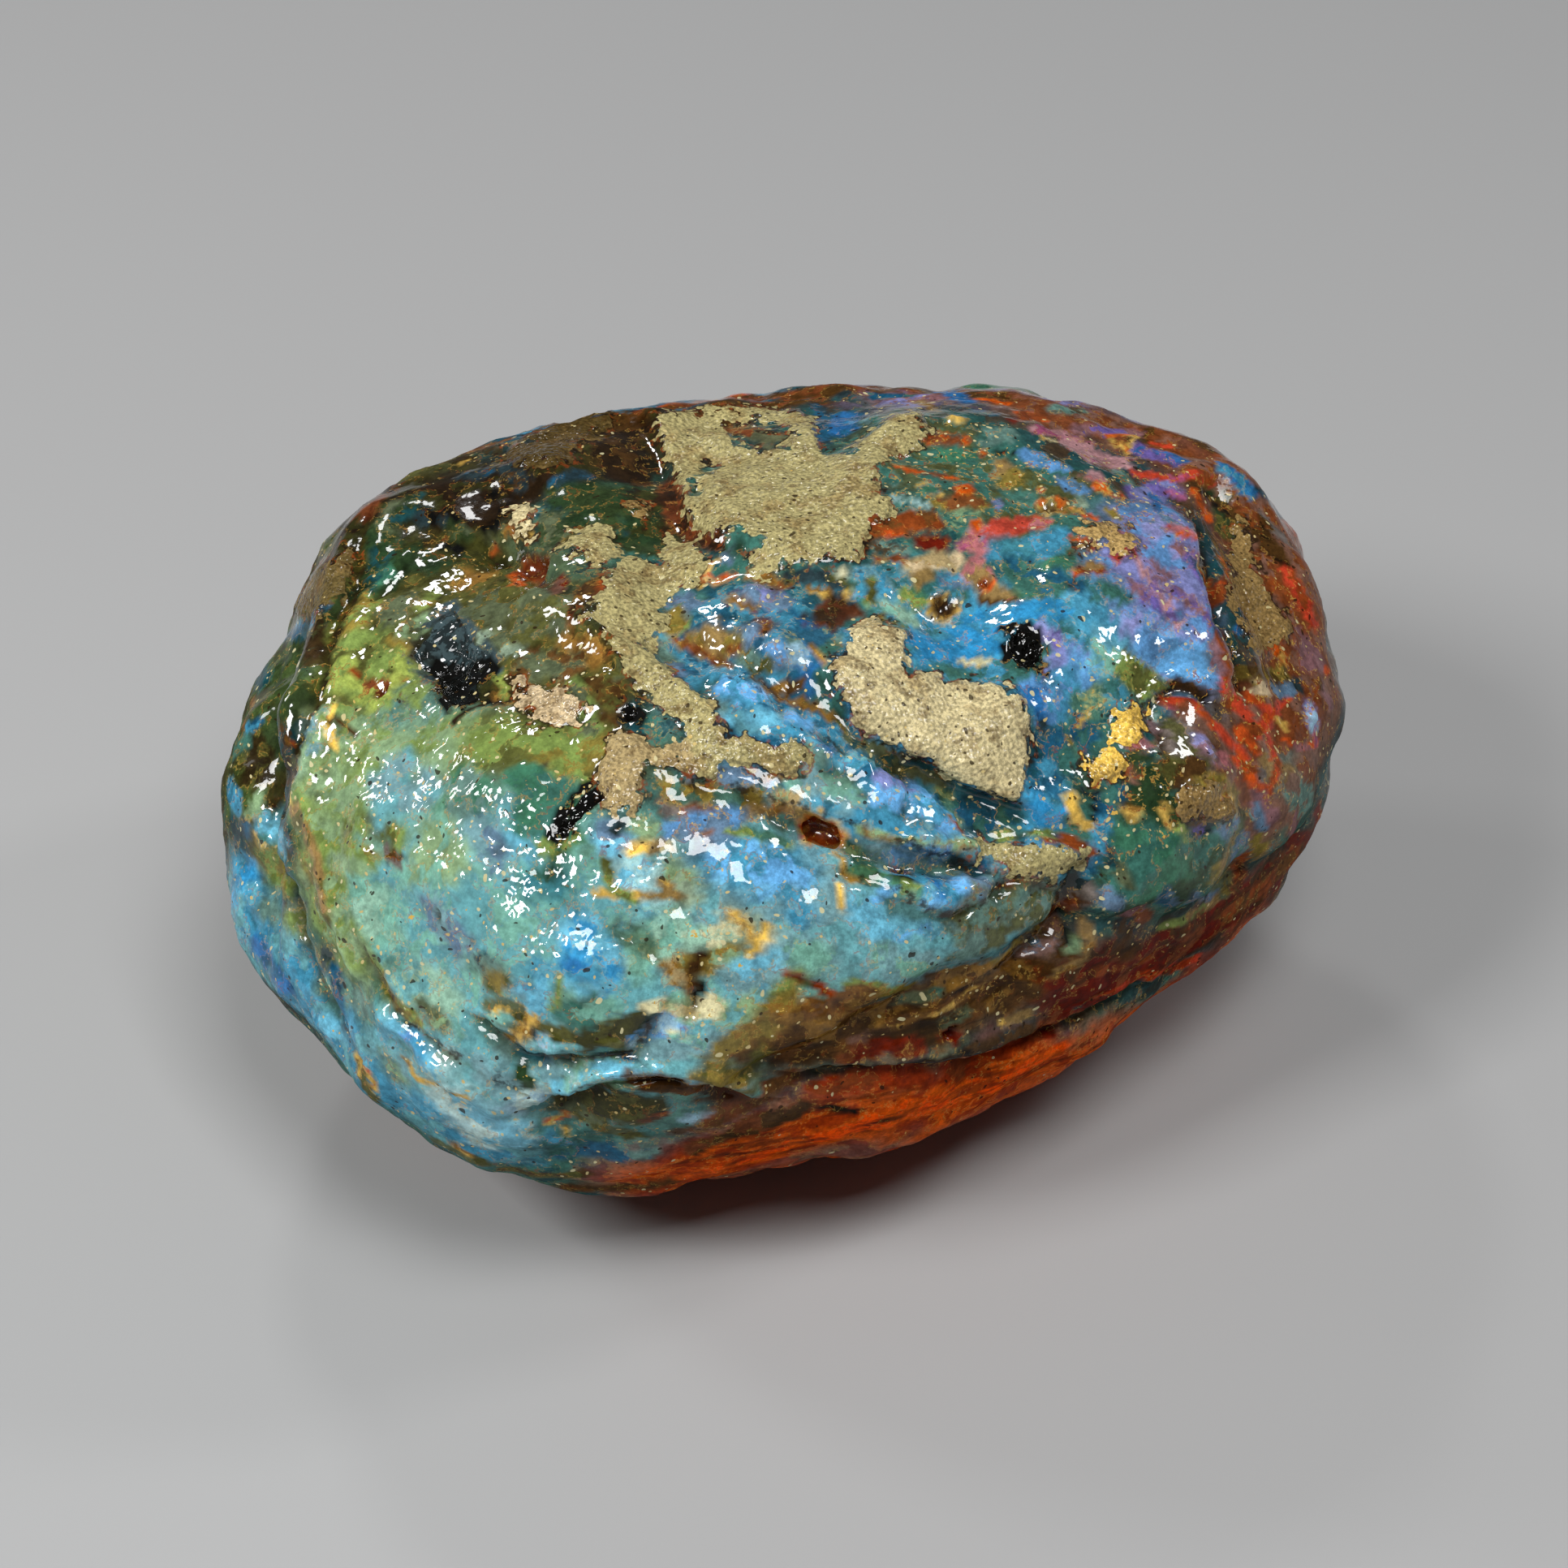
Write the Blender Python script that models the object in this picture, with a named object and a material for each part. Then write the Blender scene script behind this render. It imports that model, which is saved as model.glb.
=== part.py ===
"""A water-worn nodule of blue amber: one solid lump that rests on a small flat spot.

Lengths are in metres, +Z is up, +X runs along the nodule, and -Y is the side it is shown from.
The origin is on the ground, below the middle of the nodule.

A place on the nodule is (longitude, latitude) in degrees, as on a globe: longitude 0 is the +X end,
-90 the front and 180 the other end, and latitude 90 is the top.
"""

import math
from collections import namedtuple

import bmesh
import bpy
import numpy as np
from mathutils import Vector, noise

MM = 0.001

# Driving dimensions: the smooth ovoid that all the relief is laid on
LENGTH = 63.5 * MM
WIDTH = 49.5 * MM
HEIGHT = 36.6 * MM
BOXINESS = 2.2  # 2 is a true ellipsoid, and more has fuller shoulders
REST_DEPTH = 0.4 * MM  # how much of the bottom the flat spot takes off

# Mesh
GLOBE_SUBDIVISIONS = 7
TRIANGLES = 9400

SEMI_AXES = np.array([LENGTH, WIDTH, HEIGHT]) / 2

# A broad swelling, or a hollow where rise is negative. It fades out over about twice its reach.
Swell = namedtuple("Swell", "name place reach rise")
# A crest, or a furrow where rise is negative, along a line of places.
Line = namedtuple("Line", "name places width rise")
# A step along a line of places: high on its left, seen from outside, and low on its right.
Ledge = namedtuple("Ledge", "name places rise reach")
# A round pit with a low rim.
Pit = namedtuple("Pit", "name place radius depth")
# A patch of sandy crust left on the amber, inside an outline of places.
Crust = namedtuple("Crust", "name outline")

SWELLS = [
    Swell("front lobe", (-149, 28), 12 * MM, 1.3 * MM),
    Swell("lower left bump", (168, -8), 4.5 * MM, 0.9 * MM),
    Swell("upper left bump", (156, 11), 4.0 * MM, 0.9 * MM),
    Swell("left flank", (176, 14), 6.0 * MM, -1.2 * MM),
    Swell("back left shoulder", (128, 30), 12 * MM, 1.6 * MM),
    Swell("back left knob", (125, 33), 4.0 * MM, 0.6 * MM),
    Swell("back rim", (102, 45), 9.0 * MM, 1.1 * MM),
    Swell("back right shoulder", (20, 36), 13 * MM, 1.2 * MM),
    Swell("right end", (-22, 10), 14 * MM, 2.7 * MM),
    Swell("right rim", (-6, 28), 4.5 * MM, 1.3 * MM),
    Swell("top saddle", (80, 70), 8.0 * MM, -1.4 * MM),
    Swell("front underside", (-66, -24), 10 * MM, -0.9 * MM),
    Swell("front foot", (-140, -24), 10 * MM, 0.4 * MM),
    Swell("front left foot", (-160, -16), 5.0 * MM, 0.3 * MM),
    Swell("keel", (-92, -38), 7.0 * MM, 0.5 * MM),
    Swell("blue shoulder", (-52, 38), 7.0 * MM, 0.8 * MM),
    Swell("teal lobe", (-72, 20), 5.0 * MM, 0.8 * MM),
    Swell("cyan lobe", (-110, 22), 6.0 * MM, 0.7 * MM),
    Swell("lower blue lobe", (-150, -6), 6.0 * MM, 0.7 * MM),
    Swell("dark basin", (148, 58), 4.5 * MM, -1.0 * MM),
    Swell("back hollow", (58, 2), 9.0 * MM, -1.9 * MM),
    Swell("back belly", (98, 4), 9.0 * MM, 1.0 * MM),
    Swell("far end hollow", (8, -8), 6.0 * MM, -1.0 * MM),
]

LINES = [
    Line("left crest", [(123, 40), (141, 39), (160, 37), (170, 28)], 2.0 * MM, 1.2 * MM),
    Line("left furrow", [(140, 30), (154, 28), (166, 21), (173, 10), (168, 3)], 1.8 * MM, -1.3 * MM),
    Line("top trough", [(86, 56), (140, 78), (-170, 74), (-150, 67), (-132, 55)], 2.8 * MM, -1.4 * MM),
    Line("olive ridge", [(158, 60), (-158, 65), (-140, 52)], 2.8 * MM, 0.9 * MM),
    Line("olive cleft", [(-178, 58), (-160, 58), (-148, 51), (-143, 44)], 1.2 * MM, -0.6 * MM),
    Line("upper blue ridge", [(-140, 71), (-115, 64), (-100, 57)], 2.0 * MM, 0.9 * MM),
    Line("ridge gap", [(-150, 68), (-124, 61), (-110, 53), (-104, 46)], 1.1 * MM, -0.7 * MM),
    Line("blue ridge", [(-132, 59), (-116, 52), (-105, 42), (-98, 29)], 2.4 * MM, 1.1 * MM),
    Line("slab furrow", [(-127, 61), (-114, 54), (-104, 48), (-96, 40), (-85, 27)], 1.2 * MM, -1.0 * MM),
    Line("shoulder furrow", [(-96, 70), (-80, 62), (-60, 60), (-40, 66)], 1.6 * MM, -0.7 * MM),
    Line("right crevice", [(-10, 36), (-25, 35), (-36, 30), (-40, 20)], 2.0 * MM, -2.3 * MM),
    Line("shoulder cleft", [(-58, 44), (-54, 34), (-52, 24)], 1.3 * MM, -0.8 * MM),
    Line("lobe crease", [(-168, 26), (-151, 20), (-142, 14), (-137, 6)], 1.5 * MM, -0.6 * MM),
    Line("underside crack", [(-82, 24), (-84, 16), (-90, 9)], 0.9 * MM, -0.9 * MM),
    Line("back furrow", [(38, 44), (52, 24), (60, 4), (76, -16)], 2.2 * MM, -1.7 * MM),
    Line("back crest", [(84, 40), (96, 22), (118, 10), (140, -6)], 2.6 * MM, 1.4 * MM),
    Line("far end furrow", [(6, 26), (14, 6), (4, -16)], 1.8 * MM, -1.2 * MM),
]

LEDGES = [
    Ledge("left flank edge", [(138, 32), (158, 33), (169, 26), (175, 10), (180, -4)], 1.3 * MM, 4.0 * MM),
    Ledge("blue lip", [(-93, 18), (-98, 24), (-104, 30), (-111, 34), (-118, 40)], 0.55 * MM, 3.0 * MM),
    Ledge("belt", [(-150, -22), (-122, 5), (-105, 13), (-86, 14), (-64, 4), (-44, -6)], 0.7 * MM, 6.0 * MM),
    Ledge("underside ledge", [(-116, 2), (-105, -3), (-96, -8), (-86, -8), (-70, -8)], 0.45 * MM, 3.0 * MM),
    Ledge("eyelid", [(-144, -3), (-136, 2), (-128, 3), (-117, -2)], 0.6 * MM, 2.5 * MM),
    Ledge("slab edge", [(-104, 54), (-97, 46), (-90, 40), (-83, 33)], 0.5 * MM, 2.5 * MM),
    Ledge("shoulder edge", [(-68, 38), (-60, 42), (-52, 37), (-48, 30)], 0.45 * MM, 2.5 * MM),
    Ledge("back ledge", [(70, -10), (92, -2), (112, 2), (134, -8)], 1.0 * MM, 5.0 * MM),
    Ledge("far end ledge", [(-28, -20), (-12, -10), (10, -6), (30, -14)], 0.6 * MM, 4.0 * MM),
]

PITS = [
    Pit("brown pit", (-111, 39), 1.2 * MM, 1.3 * MM),
    Pit("round bubble", (-76, 64), 0.8 * MM, 0.5 * MM),
    Pit("oval bubble", (-29, 61), 1.0 * MM, 0.4 * MM),
    Pit("black pit", (-70, 53), 1.3 * MM, 1.2 * MM),
    Pit("black hollow", (175, 52), 2.2 * MM, 0.9 * MM),
    Pit("glassy pit", (161, 63), 1.4 * MM, 0.9 * MM),
    Pit("dark bubble", (142, 57), 1.5 * MM, 0.9 * MM),
    Pit("lip pit", (-83, 27), 1.0 * MM, 0.9 * MM),
    Pit("strip pit", (-152, 60), 0.9 * MM, 0.7 * MM),
    Pit("belt pit", (-94, 4), 0.9 * MM, 0.8 * MM),
    Pit("back pit", (78, 26), 1.5 * MM, 1.0 * MM),
    Pit("far end pit", (24, 14), 1.2 * MM, 0.9 * MM),
    Pit("left end pit", (-176, 2), 1.1 * MM, 0.6 * MM),
    Pit("lower back pit", (118, -14), 1.3 * MM, 0.9 * MM),
]

CRUSTS = [
    Crust("slab", [(-97, 65), (-87, 65), (-90, 57), (-79, 51), (-81, 41), (-85, 35), (-92, 42), (-104, 53), (-105, 61)]),
    Crust("top", [(92, 57), (60, 64), (40, 73), (20, 67), (-9, 80), (-46, 78), (-101, 77), (180, 82), (105, 70)]),
    Crust("strip", [(150, 71), (-166, 74), (-144, 65), (-126, 55), (-114, 49), (-129, 46), (-142, 56), (-168, 65)]),
    Crust("strip foot", [(-143, 50), (-130, 51), (-135, 42), (-140, 42)]),
    Crust("lip", [(-93, 31), (-84, 27), (-80, 23), (-87, 22)]),
    Crust("crevice", [(-16, 35), (-27, 33), (-35, 22), (-41, 24), (-35, 31), (-22, 38)]),
    Crust("back slab", [(108, 26), (98, 32), (84, 20), (88, 8), (104, 12)]),
    Crust("far end", [(26, 2), (14, 14), (2, 8), (8, -6), (20, -8)]),
]
CRUST_RISE = 0.35 * MM

# Unevenness, coarse to fine: how wide its lumps are and how high
SWAYS = [(18 * MM, 0.8 * MM), (7 * MM, 0.5 * MM)]
# Rounded lumps with creases between them
LUMPS = [(6.5 * MM, 0.9 * MM), (3.2 * MM, 0.6 * MM)]
WANDER = 1.1 * MM  # how far lines and edges stray from a smooth course
LEDGE_SLOPE = 0.4 * MM  # half the width of a ledge's steep face


def direction(place):
    """The unit vector towards a place."""
    longitude, latitude = (math.radians(angle) for angle in place)
    level = math.cos(latitude)
    return np.array([level * math.cos(longitude), level * math.sin(longitude), math.sin(latitude)])


def ovoid(directions):
    """Points of the smooth ovoid, and its outward normals."""
    size = (np.abs(directions) ** BOXINESS).sum(axis=1) ** (-1 / BOXINESS)
    points = directions * size[:, None] * SEMI_AXES
    slopes = np.sign(directions) * np.abs(directions) ** (BOXINESS - 1) / SEMI_AXES
    return points, slopes / np.linalg.norm(slopes, axis=1)[:, None]


def on_ovoid(places):
    """Points of the ovoid at some places."""
    return ovoid(np.array([direction(place) for place in places]))[0]


def moved_on(point, size, layer):
    """Where a layer of noise with lumps of one size is read for a point."""
    return Vector(point) / size + layer * Vector((7.3, 3.1, 5.7))


def sways(points, size, layer):
    """Smooth noise from about -1 to 1."""
    return np.array([noise.fractal(moved_on(p, size, layer), 1.0, 2.0, 2) for p in points])


def lumps(points, size, layer):
    """Rounded lumps, from about -0.3 in the creases between them to about 0.7, and 0 on the whole."""
    return np.array([abs(noise.noise(moved_on(p, size, layer))) for p in points]) - 0.27


def wandered(points):
    """The points, each moved a little, so that what is measured from them has uneven edges."""
    return points + WANDER * np.stack([sways(points, 5 * MM, layer) for layer in (11, 12, 13)], axis=1)


def along(points, normals, places):
    """Signed distance from a line of places, positive on its left, and a fade to 0 at its ends."""
    line = on_ovoid(places)
    steps = np.diff(line, axis=0)
    lengths = np.linalg.norm(steps, axis=1)
    starts = np.concatenate([[0], np.cumsum(lengths)])
    headings = steps / lengths[:, None]
    turns = np.concatenate([headings[:1], headings[:-1] + headings[1:], headings[-1:]])
    least = np.full(len(points), np.inf)
    side = np.zeros(len(points))
    travelled = np.zeros(len(points))
    for i, (start, step, length) in enumerate(zip(line, steps, lengths)):
        share = np.clip((points - start) @ step / length**2, 0, 1)[:, None]
        offset = points - start - share * step
        heading = (1 - share) * turns[i] + share * turns[i + 1]
        distance = np.linalg.norm(offset, axis=1)
        closer = distance < least
        least[closer] = distance[closer]
        side[closer] = np.sign((np.cross(heading, offset) * normals).sum(axis=1))[closer]
        travelled[closer] = (starts[i] + share[:, 0] * length)[closer]
    fade = np.sin(math.pi * np.clip(travelled / starts[-1], 0, 1)).clip(0) ** 0.6
    return least * side, fade


def inside(points, normals, outline):
    """How far inside an outline of places each point is, negative outside, measured flat at its middle."""
    corners = on_ovoid(outline)
    middle = corners.mean(axis=0)
    up = ovoid((middle / SEMI_AXES / np.linalg.norm(middle / SEMI_AXES))[None])[1][0]
    across = np.cross(up, (0.0, 0.0, 1.0) if abs(up[2]) < 0.9 else (1.0, 0.0, 0.0))
    across /= np.linalg.norm(across)
    flat = np.stack([across, np.cross(up, across)], axis=1)
    spots = (points - middle) @ flat
    corners = (corners - middle) @ flat
    least = np.full(len(points), np.inf)
    within = np.zeros(len(points), bool)
    for start, end in zip(corners, np.roll(corners, -1, axis=0)):
        step = end - start
        share = np.clip((spots - start) @ step / (step @ step), 0, 1)
        least = np.minimum(least, np.linalg.norm(spots - start - share[:, None] * step, axis=1))
        crosses = (start[1] > spots[:, 1]) != (end[1] > spots[:, 1])
        height = step[1] if step[1] else 1.0
        within ^= crosses & (spots[:, 0] < start[0] + step[0] * (spots[:, 1] - start[1]) / height)
    within &= normals @ up > 0
    return np.where(within, least, -least)


def relief(points, normals):
    """How far the nodule stands out of the ovoid at each point."""
    strayed = wandered(points)
    rise = sum(height * sways(points, size, layer) for layer, (size, height) in enumerate(SWAYS))
    rise += sum(height * lumps(strayed, size, layer) for layer, (size, height) in enumerate(LUMPS, 5))
    for swell in SWELLS:
        away = np.linalg.norm(strayed - on_ovoid([swell.place]), axis=1) / swell.reach
        rise += swell.rise * np.exp(-(away**2))
    for line in LINES:
        away, fade = along(strayed, normals, line.places)
        rise += line.rise * fade * np.exp(-(np.abs(away / line.width) ** 1.4))
    for ledge in LEDGES:
        away, fade = along(strayed, normals, ledge.places)
        rise += ledge.rise * fade * np.tanh(away / LEDGE_SLOPE) * np.exp(-np.abs(away) / ledge.reach)
    for pit in PITS:
        away = np.linalg.norm(strayed - on_ovoid([pit.place]), axis=1) / pit.radius
        rise += pit.depth * (0.3 * np.exp(-((away - 1.2) ** 2) / 0.08) - np.exp(-(away**4)))
    for crust in CRUSTS:
        depth_in = inside(strayed, normals, crust.outline)
        rise += CRUST_RISE * (0.5 + 0.5 * np.tanh(depth_in / (0.3 * MM)))
    return rise


def shape(directions):
    """Points of the nodule towards each direction, and the normals of the ovoid under them."""
    points, normals = ovoid(directions)
    points = points + relief(points, normals)[:, None] * normals
    points[:, 2] += HEIGHT / 2 - REST_DEPTH
    return points, normals


def directions_of(mesh):
    """The unit vectors towards a mesh's vertices."""
    found = np.empty(len(mesh.vertices) * 3)
    mesh.vertices.foreach_get("co", found)
    found = found.reshape(-1, 3)
    return found / np.linalg.norm(found, axis=1)[:, None]


def amber():
    """Milky blue-green amber with a wet gloss."""
    material = bpy.data.materials.new("blue_amber")
    material.use_nodes = True
    look = material.node_tree.nodes["Principled BSDF"].inputs
    look["Base Color"].default_value = (0.13, 0.33, 0.38, 1)
    look["Roughness"].default_value = 0.18
    look["Metallic"].default_value = 0.0
    look["IOR"].default_value = 1.54
    return material


def make_nodule():
    """The lump in full detail, then with as few triangles as keep its form."""
    bpy.ops.mesh.primitive_ico_sphere_add(subdivisions=GLOBE_SUBDIVISIONS, radius=1)
    nodule = bpy.context.object
    nodule.name = "amber_nodule"
    points, _ = shape(directions_of(nodule.data))
    nodule.data.vertices.foreach_set("co", points.ravel())
    nodule.data.update()
    thinner = nodule.modifiers.new("thinner", "DECIMATE")
    thinner.ratio = TRIANGLES / len(nodule.data.polygons)
    graph = bpy.context.evaluated_depsgraph_get()
    full, nodule.data = nodule.data, bpy.data.meshes.new_from_object(nodule.evaluated_get(graph))
    bpy.data.meshes.remove(full)
    nodule.modifiers.clear()
    nodule.data.name = "amber_nodule"
    return nodule


def cut_rest_spot(mesh):
    """Cuts the bottom off flat at the ground, and puts the middle over the origin."""
    cut = bmesh.new()
    cut.from_mesh(mesh)
    everything = cut.verts[:] + cut.edges[:] + cut.faces[:]
    found = bmesh.ops.bisect_plane(cut, geom=everything, plane_co=(0, 0, 0), plane_no=(0, 0, 1), clear_inner=True)
    rim = [edge for edge in found["geom_cut"] if isinstance(edge, bmesh.types.BMEdge)]
    bmesh.ops.contextual_create(cut, geom=rim)
    bmesh.ops.recalc_face_normals(cut, faces=cut.faces[:])
    places = np.array([corner.co for corner in cut.verts])
    middle = (places.min(axis=0) + places.max(axis=0)) / 2
    bmesh.ops.translate(cut, verts=cut.verts[:], vec=(-middle[0], -middle[1], 0))
    cut.to_mesh(mesh)
    cut.free()


def main():
    for old in list(bpy.data.objects):
        bpy.data.objects.remove(old)
    nodule = make_nodule()
    cut_rest_spot(nodule.data)
    nodule.data.materials.append(amber())
    nodule.data.shade_smooth()
    parts = bpy.data.collections.new("amber_nodule")
    bpy.context.scene.collection.children.link(parts)
    for holder in list(nodule.users_collection):
        holder.objects.unlink(nodule)
    parts.objects.link(nodule)


main()
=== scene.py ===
"""The looks of a nodule of blue amber: its fine relief, its mottled colours and its sandy crust.

Lengths are in metres unless a name or a comment says otherwise. A photo point is a pixel of the
1932 x 1932 photograph, and it stands for the spot on the stone that is seen there. A place is
(longitude, latitude) in degrees as on a globe, with longitude 0 at the +X end and -90 at the front.
"""

import math
from collections import namedtuple

import bpy
import numpy as np
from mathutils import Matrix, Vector, noise
from mathutils.bvhtree import BVHTree


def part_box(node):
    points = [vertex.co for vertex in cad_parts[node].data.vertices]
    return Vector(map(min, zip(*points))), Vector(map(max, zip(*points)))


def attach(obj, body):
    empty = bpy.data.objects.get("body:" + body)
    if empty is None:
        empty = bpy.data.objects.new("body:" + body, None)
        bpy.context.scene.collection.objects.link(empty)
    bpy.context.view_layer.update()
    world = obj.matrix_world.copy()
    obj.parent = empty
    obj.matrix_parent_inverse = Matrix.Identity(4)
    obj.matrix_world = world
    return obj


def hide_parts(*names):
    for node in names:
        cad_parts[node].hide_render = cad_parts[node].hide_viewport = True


MM = 0.001

# The camera
PHOTO_SIDE = 1932
AZIMUTH, ELEVATION = -32, 38
DISTANCE = 0.2531
AIM = Vector((-0.57, -1.04, 16.72)) * MM
LENS, SENSOR = 100, 36
CLIP_START = 0.01
PHOTO_SCALE = 23  # photo pixels to a millimetre at the stone

# The mesh; PULL is how far a round of smoothing draws a value towards its neighbours' mean
SUBDIVISIONS = 7
PULL = 0.6
SMOOTHING_ROUNDS = 8
HOLLOW_ROUNDS = 12
VALLEY_ROUNDS = 60

# How soft the edges of strokes are, as a share of their reach
AROUND_SOFTNESS, WASH_SOFTNESS, STROKE_SOFTNESS = 0.4, 0.5, 0.22
SPREAD_SOFTNESS, FOLD_SOFTNESS = 0.5, 0.95

# How edges stray: the size of the lumps in mm, how far at most in mm, and how far for each mm of reach
BROAD_SIZE, MOST_BROAD, BROAD_SHARE = 3.5, 1.2, 0.4
FINE_SIZE, MOST_FINE, FINE_SHARE = 0.8, 0.6, 0.6
SEED_STEP = (3.7, 9.1, 5.3)  # from one seed's noise to the next, in lumps

# Where a stroke's points are looked for: this share of its reach and this many mm round it
MARGIN_SHARE, MARGIN = 1.4, 1.6

# Outlines, in mm: FAR stands for well outside, and a patch's tone goes this margin past its outline
FAR, TONE_MARGIN = 5.0, 0.6

# The relief of the skin: heights of its lumps in mm, and the size of each kind in mm
SWELL, SWELL_SIZE = 0.16, 3.2
DIMPLE, GLINT_DIMPLE, DIMPLE_SIZE = 0.03, 0.07, 1.3
RIPPLE, RIPPLE_SIZE = 0.05, 0.8
WRINKLE, WRINKLE_SIZE, WRINKLE_STRETCH = 0.2, 1.7, 0.78
CRUST_HEIGHT, CRUST_GRAIN = 0.12, 0.05
CRUST_LUMP, CRUST_LUMP_SIZE = 0.09, 1.1

# A ledge: half the width of its edge in mm, and how many times its reach it is followed
LEDGE_EDGE, LEDGE_SPAN = 0.22, 2.2

# A pit: where the crest of its rim is and how wide it is, in radii, and how round its bowl is
RIM_AT, RIM_WIDTH, BOWL_POWER = 1.15, 0.3, 0.7

# The underside: the Z of the skin's normal where a change begins and where it is full
LOW_SIDE = (0.35, 0.8)
CLEAR_BELOW, LESS_GOLD_BELOW = 0.06, 0.8
WET_SIDE, WET_BELOW = (-0.35, 0.5), 0.12

# Painted shade and painted light: the tones turn browner in the hollows, where shade falls, and lighter on
# the rises, where light falls; from start to end, in mm below or above the skin around
Turn = namedtuple("Turn", "start end most")
HOLLOW_SHADE, VALLEY_SHADE = Turn(0.01, 0.16, 0.9), Turn(0.02, 0.2, 0.8)
CREST_PAINTED_LIGHT, RIDGE_PAINTED_LIGHT = Turn(0.01, 0.12, 0.16), Turn(0.02, 0.2, 0.14)

# The amber and the wet coat on it; SPECK_GAP is in mm
ROUGHNESS, CRUST_ROUGHNESS, COAT_ROUGHNESS = 0.22, 0.6, 0.04
AMBER_IOR, COAT_IOR = 1.54, 1.5
ABSORPTION_COLOUR, ABSORPTION_DENSITY = (1.0, 0.45, 0.1, 1), 60.0
SPECK_GAP = 0.42

# The lamps, which all face LIT_POINT, then the sky and the floor
LIT_POINT = Vector((0, 0, 0.018))
LAMPS = {
    "key": dict(place=(-0.316, -0.033, 0.335), size=0.11, watts=1.08),
    "back": dict(place=(0.08, 0.31, 0.33), size=0.055, watts=0.24),
    "left": dict(place=(-0.25, 0.30, 0.243), size=0.08, watts=0.35),
    "soft": dict(place=(-0.04, -0.20, 0.41), size=0.15, watts=1.0),
    "side": dict(place=(0.32, -0.12, 0.31), size=0.07, watts=0.3),
}
SKY_COLOUR, SKY_STRENGTH = (0.9, 0.95, 1.0, 1), 0.06
FLOOR_SIDE = 3
FLOOR_COLOUR, FLOOR_ROUGHNESS = (0.42, 0.42, 0.42, 1), 0.7

Stroke = namedtuple("Stroke", "name tone second reach points")
Patch = namedtuple("Patch", "name tone second outline")
Crust = namedtuple("Crust", "name tone outline")
Hole = namedtuple("Hole", "name outline")
Blot = namedtuple("Blot", "name tone reach points")
Fold = namedtuple("Fold", "name rise width points")
Ledge = namedtuple("Ledge", "name rise reach points")
Pit = namedtuple("Pit", "name depth radius rim points")
Spread = namedtuple("Spread", "name amount reach points")


def listed(kind, text):
    """One thing for each line of "name: settings: points"; a comma at its end carries a line on."""
    found = []
    for line in text.strip().replace(",\n", ",").splitlines():
        if line.startswith("#"):
            continue
        name, *settings, points = line.split(":")
        words = [word.strip() for word in "".join(settings).split(",") if word]
        numeric = [word.replace(".", "").replace("-", "").isdigit() for word in words]
        words = [float(word) if is_number else word for word, is_number in zip(words, numeric)]
        pairs = [tuple(map(float, pair.split())) for pair in points.split(",")]
        found.append(kind(name, *words, pairs))
    return found


# Tones as seen on a screen, 0 to 255
TONES = {
    # foam is painted light: a tone paler than the amber, for the lower front where light and sheen fall
    "foam": (198, 228, 224),
    "pale cyan": (160, 198, 196),
    "cyan": (106, 170, 176),
    "deep cyan": (62, 128, 140),
    "seafoam": (124, 182, 162),
    "sky": (108, 182, 208),
    "azure": (68, 146, 178),
    "cobalt": (40, 106, 164),
    "deep azure": (30, 88, 118),
    "pale blue": (150, 188, 208),
    "cornflower": (96, 152, 206),
    "periwinkle": (126, 130, 184),
    "violet": (108, 92, 162),
    "magenta": (160, 78, 112),
    "pink": (186, 112, 116),
    "mauve": (136, 96, 100),
    "mauve pink": (184, 136, 140),
    "grey mauve": (118, 108, 102),
    "hot red": (236, 60, 24),
    "red": (198, 66, 40),
    "vermilion": (204, 82, 26),
    "rust": (140, 66, 24),
    "orange": (214, 88, 12),
    "deep orange": (160, 52, 8),
    "blood": (98, 26, 6),
    "brown": (104, 66, 28),
    "umber": (78, 52, 22),
    "dark umber": (42, 28, 13),
    "black": (14, 14, 12),
    # hollow: the brown tint of the painted shade in the hollows
    "hollow": (168, 150, 122),
    "slate": (40, 56, 60),
    "chip grey": (66, 84, 88),
    "grey slate": (84, 98, 104),
    "sea green": (62, 118, 90),
    "teal": (60, 110, 98),
    "deep teal": (24, 70, 76),
    "grey teal": (100, 134, 124),
    "bottle": (38, 60, 34),
    "olive": (86, 86, 40),
    "dark olive": (56, 56, 22),
    "moss": (124, 146, 74),
    "lime": (162, 178, 84),
    "sage": (138, 168, 124),
    "olive gold": (134, 116, 50),
    "brown gold": (140, 102, 44),
    "dark green": (50, 66, 36),
    "flank green": (66, 84, 42),
    "grey green": (92, 102, 74),
    "grey sage": (142, 162, 138),
    "mint": (150, 192, 168),
    "grey cyan": (118, 160, 166),
    "bright azure": (48, 144, 198),
    "bright blue": (110, 180, 236),
    "blue grey": (96, 124, 150),
    "lilac": (146, 146, 200),
    "rust brown": (124, 66, 34),
    "mauve brown": (128, 92, 76),
    "dark red": (104, 22, 4),
    # glow is painted light: a bright orange for light shining through the thin underside
    "glow": (250, 84, 4),
    "cream": (216, 208, 162),
    "sand": (214, 198, 150),
    "olive sand": (178, 166, 114),
    "pink sand": (212, 188, 148),
    "tan sand": (176, 154, 108),
    "dull tan": (106, 90, 52),
    "dark tan": (82, 66, 34),
    "pale tan": (186, 154, 96),
    "tan": (148, 120, 72),
    "gold": (214, 174, 84),
    "yellow": (255, 208, 94),
}

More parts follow.
